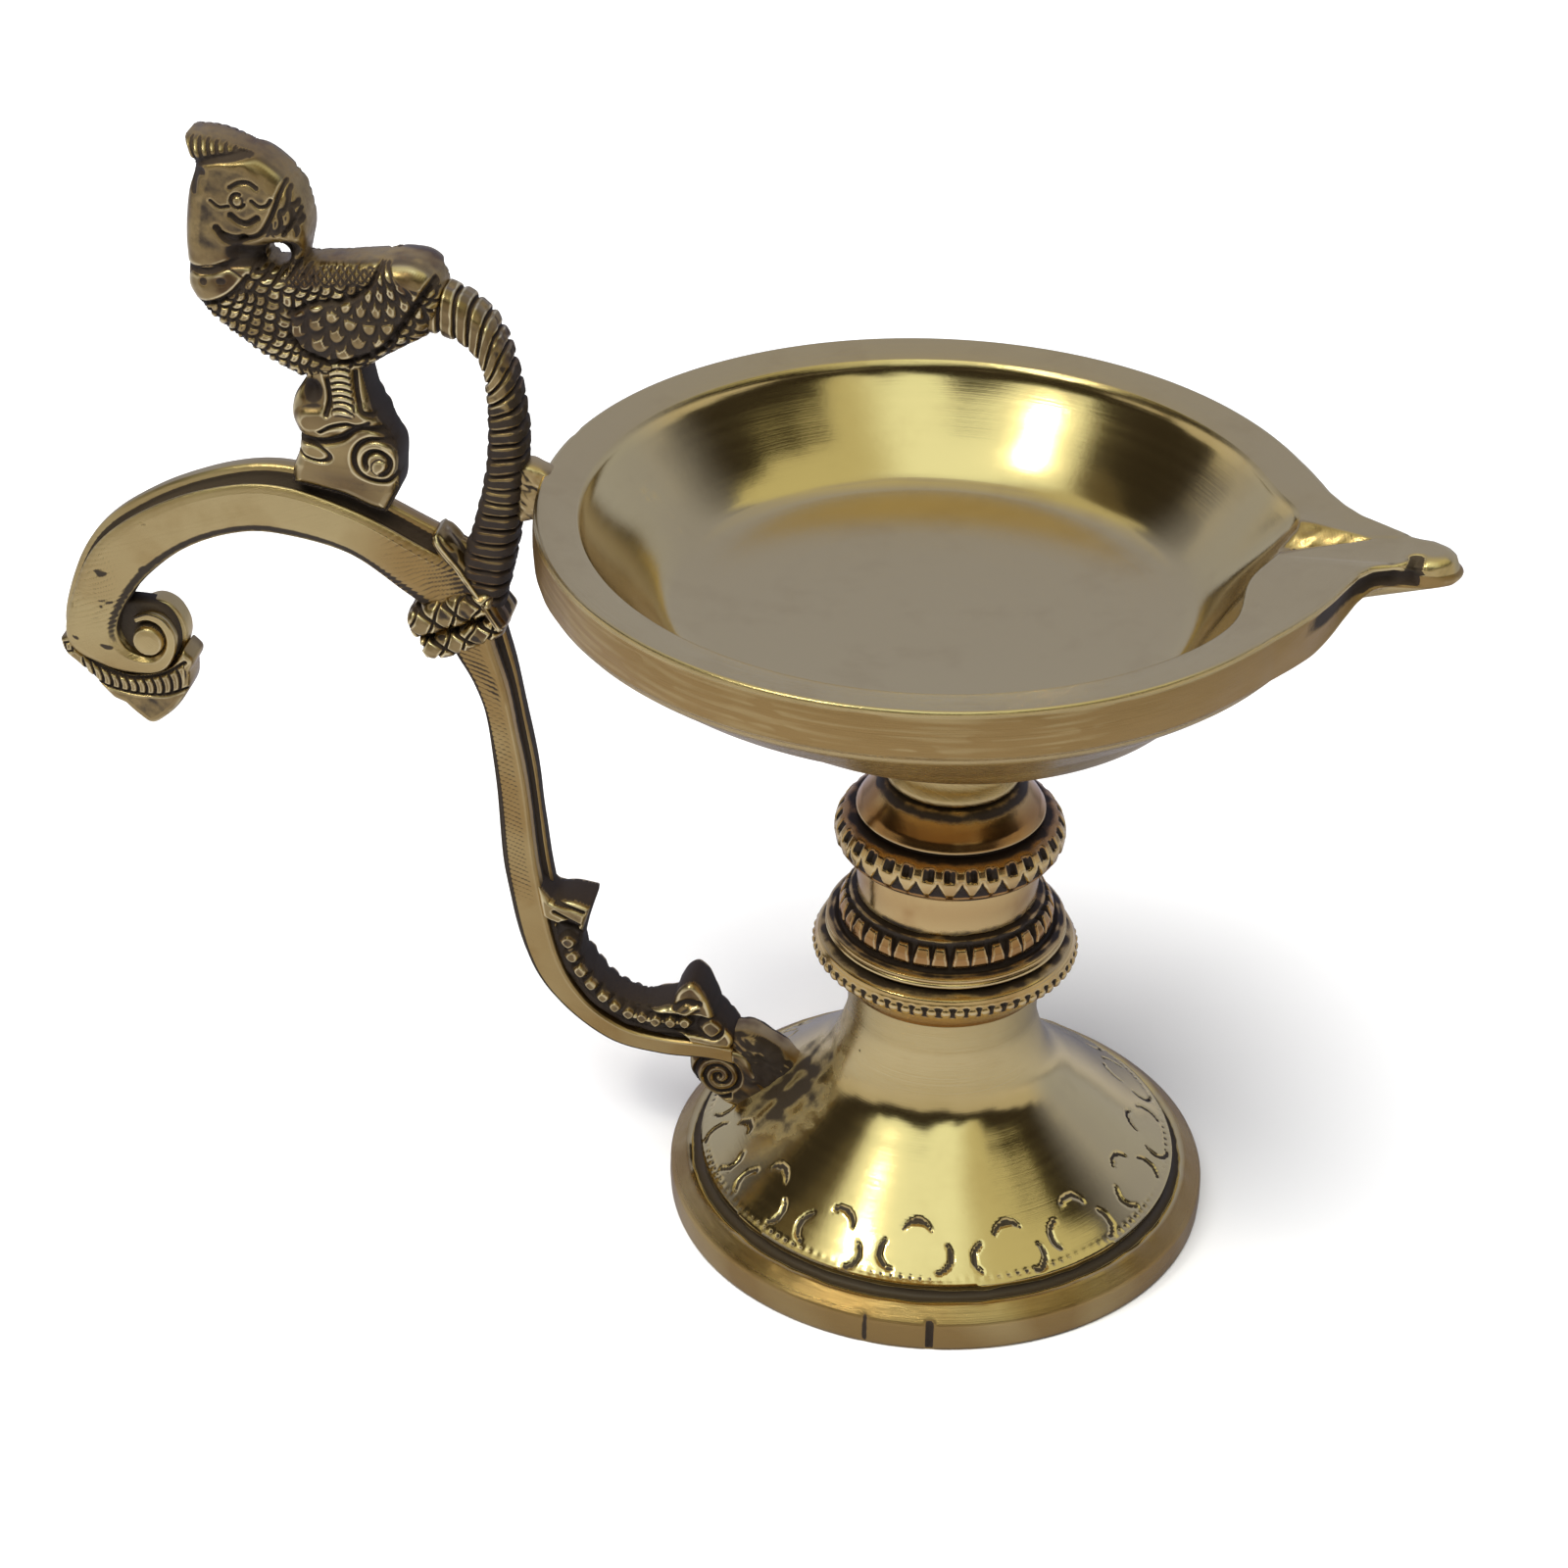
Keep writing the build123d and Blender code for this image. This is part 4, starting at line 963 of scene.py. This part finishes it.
def crescentCarve(x, z, d):
    # a sunk channel with a bead row in it, a ridge above the beads, and a cut-faced tip
    row = np.array(crescentSpec["beads"])
    path = np.vstack([[(-46, 33)], row[:, :2]])
    channel = smooth(1.75 - lineDistance(x, z, throughPoints(path, 60)), 0, 0.4)
    seam = lineDistance(x, z, throughPoints(crescentSpec["runs"][0][2:9], 60))
    channel = np.maximum(channel, smooth(1.5 - seam, 0, 0.4))
    cut = 1.2 * channel
    for bx, bz, r in row:
        away = (np.abs(x - bx) ** 1.5 + np.abs(z - bz) ** 1.5) / (1.3 * r) ** 1.5
        cut = cut - 1.15 * np.clip(1.5 - 1.5 * away, 0, 1) * channel
    ridge = line(x, z, [(-43.6, 27.6), (-40.2, 23.9), (-36, 22.5), (-32, 22.8), (-29.8, 24.2)], 0.35)
    notches = 0
    for a, b in (((-47.6, 35.8), (-44.6, 34.2)), ((-47.9, 34.2), (-44.4, 32.8)), ((-47.4, 37), (-44, 36.2))):
        notches = np.maximum(notches, bump(lineDistance(x, z, [a, b]), 0.24))
    root = line(x, z, [(-29.6, 24.6), (-31.4, 24.6), (-32.6, 23.6)], 0.4)
    rough = 0.16 * wobble(x, 0 * x, z, 0.8, 5.0)
    cut = np.maximum(cut, 0) + 0.7 * notches + 0.6 * root - 0.35 * ridge
    return rough - cut, np.clip(0.75 * cut, 0, 1) + 0.1 * smooth(rough, -0.1, 0.12)


volutSpec = {
    "runs": [[(-30.9, 17.2), (-30.8, 14.2), (-29.6, 11.9), (-27.4, 10.3), (-25, 9.2), (-22, 8.6),
              (-20.4, 11.4), (-22.4, 15), (-24, 17.4), (-27, 17.8), (-30.9, 17.2)]],
    "thick": 5.6, "wall": 1.5, "roll": 0.8, "step": 0.1, "slot": "cast_brass", "side": 0.5,
    "brown": 0.6}


def volutCarve(x, z, d):
    # small spiral: two turns cut round (-27, 13.8), with a rim line round them
    a, b = x + 27.0, z - 13.8
    r, lean = np.hypot(a, b), np.arctan2(b, a)
    spiral = rows(r - 1.25 * lean / turn, 1.25, 0.24) * smooth(3.1 - r, 0, 0.4)
    rim = bump(r - 3.1, 0.3) * (a < 1.5)
    rough = 0.14 * wobble(x, 0 * x, z, 0.8, 6.0)
    cut = np.maximum(0.55 * spiral, 0.7 * rim)
    return rough - cut, cut + 0.14


perchSpec = {
    "runs": [[(-75.4, 106.4), (-75.5, 104.6), (-77, 102), (-77.3, 99.6), (-76.6, 97.4), (-76.8, 95.2),
              (-77.6, 93), (-78, 90.6)], [(-78, 90.6), (-72, 89.6), (-68.6, 88.3), (-66.8, 88)],
             [(-66.8, 88), (-66, 89.6), (-65.2, 91.4), (-65, 93.8), (-65.1, 96.6), (-66.6, 99.6),
              (-68, 102.4), (-69, 106.8)], [(-69, 106.8), (-72, 107.6), (-75.4, 106.4)]],
    "thick": 7.0, "wall": 1.8, "roll": 1.3, "step": 0.1, "slot": "cast_brass", "side": 0.4,
    "brown": 0.4}


def perchCarve(x, z, d):
    # ringed leg over a rounded fold, with a scroll and a small leaf below it
    x, z = x - 0.4, z - 0.75
    leg = smooth(1.35 - np.abs(x + 71.4 + 0.06 * (z - 103)), 0, 0.3) * smooth(z, 99.8, 100.8)
    rings = rows(z + 0.2 * (x + 71.4) ** 2, 0.82, 0.15) * leg
    legSides = np.maximum(line(x, z, [(-73.2, 104.6), (-72.9, 102), (-73.3, 100)], 0.28),
                          line(x, z, [(-69.9, 106), (-69.7, 103), (-69.2, 100.8), (-67.9, 100)], 0.24))
    hollow = 1.5 * bump(np.hypot((x + 75.0) / 1.1, (z - 102.6) / 1.3), 1.0)
    hollow = hollow + 1.2 * bump(np.hypot((x + 67.4) / 1.0, (z - 102.6) / 2.6), 1.0)
    bulge = 0.55 * smooth(2.0 - lineDistance(x, z, [(-75.4, 98.8), (-71.6, 99.2), (-68.2, 100)]), 0, 1.2)
    under = line(x, z, [(-77, 96.6), (-74.4, 96.2), (-71.8, 96.9), (-70.2, 98.2), (-68.8, 98.6),
                (-67, 98.1), (-65.4, 96.6)], 0.42)
    smile = line(x, z, [(-74.2, 97.6), (-72.8, 98.5), (-71, 99), (-69.6, 98.8), (-68.4, 99.3)], 0.2)
    a, b = x + 67.7, z - 94.4
    r, lean = np.hypot(a, b), np.arctan2(b, a)
    outerRing = bump(r - 2.75, 0.3)
    innerRing = bump(r - 1.45 + 0.25 * np.sin(lean), 0.3) * smooth(np.abs(lean + 1.9), 0.3, 0.8)
    eye = 0.4 * dome(np.hypot(x + 67.3, z - 93.6) / 1.0)
    leaf = bump(np.hypot((x + 75.3) / 2.0, (z - 94.9 + 0.25 * (x + 75.3)) / 1.0) - 1, 0.16)
    drape = 1.0 * smooth(-z, -93.0, -90.0)
    cut = 0.4 * rings + 0.7 * legSides + hollow + 0.9 * under + 0.6 * smile
    cut = cut + 0.75 * outerRing + 0.8 * innerRing + 0.5 * leaf + drape
    skin = 0.06 * wobble(x, 0 * x, z, 1.2, 8.0)
    dark = 0.5 * rings + 0.6 * legSides + 0.5 * hollow + 0.9 * under + 0.9 * smile + 0.7 * outerRing
    return bulge + eye + skin + 0.35 * leg - cut, np.clip(dark + 0.8 * innerRing + 0.5 * leaf, 0, 1.2)


birdSpec = {
    "runs": [[(-88, 132.5), (-85.4, 132.5), (-82.2, 131.7), (-78.6, 130.2), (-75.6, 127.2), (-74.5, 122.8),
              (-75.2, 118.5)],
             [(-75.2, 118.5), (-71.5, 118.9), (-65.3, 119.7), (-61.6, 119.6), (-59.6, 117.8),
              (-59.5, 114.6), (-61.1, 110.9)],
             [(-61.1, 110.9), (-65.6, 108.2), (-70, 105.4), (-75, 104.3), (-80, 106.5), (-86.1, 111.1),
              (-88.3, 114.4), (-88.5, 117), (-88.5, 121.5), (-87.9, 126), (-87, 129), (-87.6, 130.4),
              (-88, 132.5)]],
    "holes": [(-78.1, 119.1, 1.45, 1.35)],
    "thick": 8.0, "wall": 1.5, "roll": 2.1, "step": 0.1, "slot": "cast_brass", "side": 0.05,
    "brown": 0.3,
    "crest": [(-87.9, 128.3), (-86.8, 129.1), (-84.8, 129.7), (-82.4, 130), (-80, 130.5)],
    "cheekPlate": [(-84.4, 121), (-82.4, 120.6), (-80, 121.2), (-78.5, 123.4), (-77.5, 126), (-76.7, 128.2),
                   (-76.5, 130)],
    "wingTop": [(-66, 120.6), (-66.8, 117.6), (-68.2, 115.6), (-70.6, 114.2), (-74, 113.6), (-77, 112)],
    "wingEdge": [(-59.9, 118), (-61.6, 115.4), (-63.7, 112.2), (-66.2, 109), (-68.7, 107.4), (-72, 106.5),
                 (-75, 107.2), (-77, 109)],
    # cut lines: points, width, depth and how dark
    "lines": [([(-77.2, 121.4), (-75.6, 123.8), (-75, 126.4), (-75.6, 128.6)], 0.2, 0.4, 0.5),
              ([(-83, 126.6), (-82, 127.2), (-80.9, 127.3), (-80, 126.8)], 0.24, 0.4, 0.7),
              ([(-80.6, 125.2), (-79.8, 124.6), (-78.9, 124.8), (-78.4, 125.5)], 0.2, 0.4, 0.7),
              ([(-85.3, 124.9), (-84.4, 124.2), (-83.3, 124.4)], 0.17, 0.35, 0.6),
              ([(-83.1, 123.3), (-82.2, 122.6), (-81.2, 122.5), (-80.1, 123.2)], 0.33, 0.6, 1.0),
              ([(-84.9, 121.6), (-84, 120.4), (-83, 120.1), (-81.8, 120.7)], 0.36, 0.7, 1.0),
              ([(-87.4, 125.8), (-87.3, 127), (-86.9, 127.8), (-86.2, 128.2)], 0.4, 0.4, 0.8),
              ([(-82.6, 118.6), (-80.2, 118.4), (-78.2, 118.6), (-76.8, 119.4)], 1.05, 1.7, 1.1),
              ([(-88.6, 116.3), (-86, 116.4), (-83.4, 117.4), (-80.8, 117.6)], 0.4, 0.65, 0.9),
              ([(-87.6, 112.2), (-85.6, 112.7), (-83.4, 114), (-81.6, 116)], 0.3, 0.6, 0.8)]}


def birdCarve(x, z, d):
    # cuts and swells laid out on the front face: crest, face, breast scales, wing and rump
    k = birdSpec
    x, z = x - 0.5, z - 0.93
    flat = 0 * x
    c = throughPoints(k["crest"], 30)
    overCap = smooth(z - np.interp(x, c[:, 0], c[:, 1]), 0.2, 0.7) * smooth(-x, 79.4, 80.4)
    hair = rows(x + 0.35 * (z - 131), 0.92, 0.2) * overCap
    f = throughPoints(k["cheekPlate"][2:], 30)
    behindFace = smooth(x - np.interp(z, f[:, 1], f[:, 0]), 0.25, 0.7)
    behindFace = behindFace * smooth(z, 120.8, 122) * smooth(-z, -130.5, -129.5)
    mane = scales(x * 1.2, z * 0.75, 2.2, 1.1, 0.3) * behindFace
    eye = np.hypot(x + 82.2, z - 125.1)
    ring = bump(eye - 0.8, 0.16) * smooth(np.abs(np.arctan2(z - 125.1, x + 82.2) - 0.4), 0.5, 0.9)
    bulb = dome(np.hypot((x + 85.3) / 3.6, (z - 114.6) / 2.4))
    dimples = bump(np.hypot(x + 86.7, z - 115.2), 0.45) + bump(np.hypot((x + 84.6) / 1.3, z - 115.4), 0.4)

    # wing: tiers of feathers turned about a point over the back
    wingRing = np.vstack([throughPoints(k["wingTop"], 40), throughPoints(k["wingEdge"][::-1], 40)])
    wing = smooth(-signedDistance(x, z, wingRing), -0.1, 0.5)
    wingCut = np.maximum(line(x, z, k["wingEdge"], 0.36), 0.6 * line(x, z, k["wingTop"], 0.26))
    fan = np.hypot(x + 67.6, z - 121.6)
    fanTurn = np.arctan2(z - 121.6, x + 67.6)
    tiers = 0.8 * bump(fan - 9.4 - 0.3 * np.sin(fanTurn * 3), 0.25)
    rump = smooth(np.hypot(x + 62.2, z - 119.2), 2.6, 3.8)
    feathers = wing * rump * np.maximum(tiers, scales(fanTurn * 9, -0.48 * fan, 1.9, 0, 0.28))

    # body: scales on the breast, crossed cuts on the back, a ruled hem
    throat = np.array([(-90, 111), (-87.6, 112.2), (-83.4, 114), (-81.6, 116), (-81, 119), (-90, 119)])
    body = smooth(-z, -118.6, -117.6) * (1 - wing) * (x > -90) * smooth(signedDistance(x, z, throat), 0, 0.4)
    hatchZone = smooth(z - 114.8 - 0.12 * (x + 77), 0, 0.8) * body * smooth(x, -78.5, -77)
    hatch = np.maximum(np.sin(turn * (x + z) / 0.95), np.sin(turn * (x - 0.7 * z) / 0.95)) * hatchZone
    bend = 0.55 * wobble(x, flat, z, 1.7, 3.0)
    breast = body * (1 - hatchZone) * scales(x + bend, z - bend, 1.9, 0.5, 0.22)
    hem = rows(x * 0.86 - z * 0.5, 1.15, 0.2) * smooth(1.6 - d, 0, 0.6) * body * (x < -74)
    a = np.arctan2(z - 120.1, x + 62.4)
    star = bump(np.hypot(x + 62.4, z - 120.1) * (1 - 0.45 * np.cos(5 * a)), 0.42)
    murk = smooth(wobble(x, flat, z, 1.3, 6.0), -0.4, 0.7)

    # each mark with its depth and how dark it is
    marks = [(line(x, z, k["crest"], 0.48), 0.75, 0.8), (line(x, z, k["cheekPlate"], 0.27), 0.6, 0.9),
             (hair, 0.4, 0.6), (mane, 0.4, 0.5), (ring, 0.35, 0.6), (dimples, 0.35, 0.4),
             (wingCut, 0.85, 1.0), (feathers, 0.42, 0.75), (breast, 0.45, 0.7), (hem, 0.5, 0.8),
             (star, 0.5, 1.0), (hatchZone, 0.15, 0.15), (hatch * hatchZone, 0.15, -0.15)]
    marks += [(line(x, z, points, width), deep, shade) for points, width, deep, shade in k["lines"]]
    cut = sum(mark * deep for mark, deep, shade in marks)
    dark = sum(mark * shade for mark, deep, shade in marks) + 0.22 * murk * body + 0.1 * wing * murk
    swell = 0.3 * dome(eye / 0.55) + 0.55 * bulb + 0.45 * wing + 0.10 * wobble(x, flat, z, 1.0, 4.0)
    shadow = 0.13 * smooth(-x, 76, 80) * smooth(z, 117, 120) + 0.3 * behindFace
    return swell - cut, np.clip(dark + shadow, 0, 1.3)


collars = {
    "collar_lower": {"stations": [(-62.6, 70.6, -63.4, 72.4, 2.6), (-62.1, 69.4, -62.9, 72.4, 3.8),
                                  (-59.6, 70, -60.2, 73.4, 4), (-56, 71.8, -57.2, 74.9, 4),
                                  (-53.6, 73.2, -54.6, 76, 3.8), (-53, 74.2, -53.6, 75.8, 2.6)],
    "seed": 1.0},
    "collar_strap": {"stations": [(-61.7, 85.2, -60.7, 85.9, 2.2), (-61.3, 83.8, -59.6, 85.1, 3),
                                  (-58.9, 80.7, -57.2, 82, 3.1), (-56.3, 77.2, -54.7, 78.5, 3.5),
                                  (-54.3, 74.4, -52.8, 75.6, 3.8), (-53.8, 73.9, -52.8, 74.7, 3)],
                     "seed": 7.0, "node": "collar_upper", "ruled": True},
    "collar_upper": {"stations": [(-64.4, 73, -64.8, 74.6, 2.6), (-63.4, 72, -64.4, 75.6, 3.8),
                                  (-60.6, 73.2, -62, 77, 4), (-57.2, 74.8, -58.4, 78.6, 4),
                                  (-54.8, 76.2, -55.2, 79.2, 3.8), (-54.2, 76.8, -54.4, 78.8, 2.6)],
    "seed": 4.0},
}


def collarBand(name, k):
    # a wrapped band, cut into four-sided points by two sets of slanting cuts, or ruled along its length
    t = np.linspace(0, turn, 65)[:-1]
    section = evenly(np.stack([np.copysign(np.abs(np.cos(t)) ** 0.7, np.cos(t)),
                               np.copysign(np.abs(np.sin(t)) ** 0.55, np.sin(t))], 1), 110, closed=True)
    p, s = barGrid(k["stations"], section, 190)
    x, y, z = p[:, :, 0], p[:, :, 1], p[:, :, 2]
    up = 1.5 * section[:, 0][None, :]
    seed, pitch = k["seed"], 3.3
    uneven = 0.3 * wobble(x, y, z, 2.0, seed)
    gap = rows(s + up + uneven, pitch, 0.3)
    crossing = rows(s - up + 2 * uneven, pitch, 0.24) * (np.abs(section[:, 1]) > 0.5)
    if k.get("ruled"):
        gap = bump(np.abs(section[:, 0]) - 0.55 - 0.1 * uneven, 0.2)
        crossing = 0
    ends = smooth(s, 0, 0.7) * smooth(s[-1, 0] - s, 0, 0.7)
    height = -0.6 * np.maximum(gap, 0.9 * crossing) + 0.12 * wobble(x, y, z, 0.8, seed)
    shaped = raised(p, height * ends, outwardBar(p))
    sunk = 0.6 * gap + 0.5 * crossing + 0.25 * smooth(wobble(x, y, z, 0.7, seed + 3), -0.2, 0.6)
    gridPiece(name, shaped, "cast_brass", k.get("node"), sunk=sunk * ends, grain=s, satin=0.3, brown=0.3)


for label, k in collars.items():
    collarBand(label, k)
plate("scroll_leaf", leafSpec, leafCarve)
plate("crescent", crescentSpec, crescentCarve)
plate("foot_volute", volutSpec, volutCarve)
plate("perch", perchSpec, perchCarve)
plate("bird", birdSpec, birdCarve)
print("castings done")

brazeSpecs = {
    "bowl_braze": {"runs": [[(-52.4, 95), (-50.2, 95.6), (-48.4, 95), (-47, 93.8), (-46.6, 91.6), (-47.4, 89.6),
                             (-49.6, 88.4), (-51.8, 88.6), (-52.4, 95)]], "thick": 3.8},
    "foot_braze": {"runs": [[(-26.4, 20), (-25.6, 17), (-25, 14), (-24, 11.4), (-22.4, 9.4), (-19.6, 11), (-16.4, 14.2),
                             (-18.6, 17.4), (-20.8, 19), (-23.4, 20.2), (-26.4, 20)]], "thick": 5.2},
}


def brazeCarve(x, z, d):
    # run-out filler metal: lumps of three sizes
    y = 0 * x
    lumps = 0.35 * wobble(x, y, z, 2.1, 1.0) + 0.2 * wobble(x, y, z, 0.8, 2.0)
    lumps = lumps + 0.1 * wobble(x, y, z, 0.35, 5.0)
    burnt = smooth(x, -40, -30) * (0.35 + 0.25 * wobble(x, y, z, 2.4, 3.0))
    return lumps, 0.28 * smooth(wobble(x, y, z, 1.2, 7.0), 0.0, 0.8) + burnt


for label, spec in brazeSpecs.items():
    plate(label, {**spec, "wall": 0.9, "roll": 1.9, "step": 0.14, "slot": "braze", "brown": 0.5}, brazeCarve)

for label in ("stem_stud", "stem_washer", "stem_nut"):
    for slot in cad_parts[label].material_slots:
        slot.material = brasses["plain_brass"]
print("brazes and hardware done")


studio = {
    "floorSize": 6000.0, "floor": (0.93, 0.93, 0.93), "floorInBrass": (0.33, 0.34, 0.42),
    "front": [(0.0, (0.58, 0.57, 0.62)), (0.38, (0.52, 0.50, 0.48)), (0.41, (0.03, 0.025, 0.02)),
              (0.69, (0.03, 0.025, 0.02)), (0.72, (0.55, 0.54, 0.42)), (0.93, (0.55, 0.54, 0.42)),
              (1.0, (0.45, 0.45, 0.48))],
    "behind": [(0.0, (0.40, 0.44, 0.62)), (0.6, (0.34, 0.37, 0.58)), (1.0, (0.45, 0.45, 0.50))],
    "patches": 3.2, "sway": 0.5, "wall": (0.88, 0.88, 0.89),
    # parts of the room that stand out: direction, colour, and the cosines where each begins and is full
    "seen": [((-0.06, -0.58, 0.78), (1.02, 1.15, 1.1), 0.76, 0.90),
             ((0.66, -0.12, 0.74), (0.62, 0.62, 0.46), 0.82, 0.93),
             ((-0.78, -0.10, 0.62), (0.10, 0.08, 0.05), 0.935, 0.97)],
    # place, width and power of each lamp, and its colour; both look at the middle of the brass
    "window": ((-289, -310, 678), 64, 0.7, (1.0, 0.94, 0.82)),
    "overhead": ((-120, -200, 760), 700, 11.0, (1.0, 0.98, 0.96)), "aim": (0, 0, 60),
}


def softLight(name):
    # square area light turned towards the middle of the brass
    place, width, power, colour = studio[name]
    lamp = bpy.data.lights.new(name, "AREA")
    lamp.shape = "RECTANGLE"
    lamp.size = lamp.size_y = width * mm
    lamp.energy = power
    lamp.color = colour
    holder = bpy.data.objects.new(name, lamp)
    away = Vector(place) - Vector(studio["aim"])
    aimed = away.to_track_quat("Z", "Y").to_matrix().to_4x4()
    holder.matrix_world = Matrix.Translation(Vector(place) * mm) @ aimed
    bpy.context.scene.collection.objects.link(holder)
    return holder


def studioWorld():
    # the room, by direction: bluish and dim behind the lamp, warm on the near side with a broken dark band at
    # standing height and a bright opening above it; seen straight on it is a plain pale wall
    world = bpy.data.worlds.new("room")
    bpy.context.scene.world = world
    world.use_nodes = True
    kit = NodeKit(world.node_tree)
    place = kit.node("TexCoord").outputs["Generated"]
    split = kit.node("SeparateXYZ", {0: place}).outputs
    height = kit.math("SUBTRACT", split["Z"], studio["sway"] / 2)
    swaying = kit.math("MULTIPLY_ADD", kit.noise(place, studio["patches"], 3.0, 0.5), studio["sway"], height)

    def tones(stops):
        ramp = kit.node("ValToRGB", {0: swaying})
        ramp.color_ramp.interpolation = "EASE"
        while len(ramp.color_ramp.elements) < len(stops):
            ramp.color_ramp.elements.new(0.5)
        for element, (at, colour) in zip(ramp.color_ramp.elements, stops):
            element.position = at
            element.color = colour + (1,)
        return ramp

    colour = kit.mix(kit.ramp(split["Y"], 0.1, 0.6), tones(studio["front"]), tones(studio["behind"]))
    bandTop, openingLow = studio["front"][3][0], studio["front"][4][0]
    above = kit.node("MapRange", {"Value": swaying, "From Min": bandTop, "From Max": openingLow})
    for direction, tone, begins, full in studio["seen"]:
        aim = tuple(Vector(direction).normalized())
        toward = kit.node("VectorMath", {0: place, 1: aim}, operation="DOT_PRODUCT").outputs["Value"]
        shown = kit.math("MULTIPLY", kit.ramp(toward, begins, full), above)
        colour = kit.mix(shown, colour, tone + (1,))
    straight = kit.node("LightPath").outputs["Is Camera Ray"]
    kit.put(kit.tree.nodes["Background"].inputs["Color"], kit.mix(straight, colour, studio["wall"] + (1,)))


def studioFloor():
    # white to the eye, and a quieter tone where the brass reflects it
    half = studio["floorSize"] / 2 * mm
    mesh = bpy.data.meshes.new("floor")
    corners = [(-half, -half, 0), (half, -half, 0), (half, half, 0), (-half, half, 0)]
    mesh.from_pydata(corners, [], [(0, 1, 2, 3)])
    paint = bpy.data.materials.new("floorPaint")
    paint.use_nodes = True
    kit = NodeKit(paint.node_tree)
    shader = kit.tree.nodes["Principled BSDF"].inputs
    shader["Roughness"].default_value = 0.8
    shader["Specular IOR Level"].default_value = 0.1
    glossy = kit.node("LightPath").outputs["Is Glossy Ray"]
    kit.put(shader["Base Color"], kit.mix(glossy, studio["floor"] + (1,), studio["floorInBrass"] + (1,)))
    mesh.materials.append(paint)
    floor = bpy.data.objects.new("floor", mesh)
    bpy.context.scene.collection.objects.link(floor)


studioWorld()
studioFloor()
softLight("window")
softLight("overhead").visible_glossy = False
bpy.context.scene.view_settings.view_transform = "Standard"

view = {"lens": 87.06, "sensor": 36.0, "place": (46.24, -375.8, 293.46), "down": math.radians(31.912),
        "roll": math.radians(1.0216), "side": math.radians(10)}


def placeCamera():
    # looks down by `down`, turned by `side` about z, then rolled about its own line of sight
    camera = bpy.data.cameras.new("camera")
    camera.lens = view["lens"]
    camera.sensor_width = view["sensor"]
    back = Vector((0, -math.cos(view["down"]), math.sin(view["down"])))
    upright = Vector((0, math.sin(view["down"]), math.cos(view["down"])))
    level = Vector((1, 0, 0))
    right = math.cos(view["roll"]) * level + math.sin(view["roll"]) * upright
    up = math.cos(view["roll"]) * upright - math.sin(view["roll"]) * level
    axes = Matrix((right, up, back)).transposed().to_4x4()
    holder = bpy.data.objects.new("camera", camera)
    holder.matrix_world = (Matrix.Translation(Vector(view["place"]) * mm)
                           @ Matrix.Rotation(view["side"], 4, "Z") @ axes)
    bpy.context.scene.collection.objects.link(holder)
    bpy.context.scene.camera = holder


placeCamera()
print("studio done")
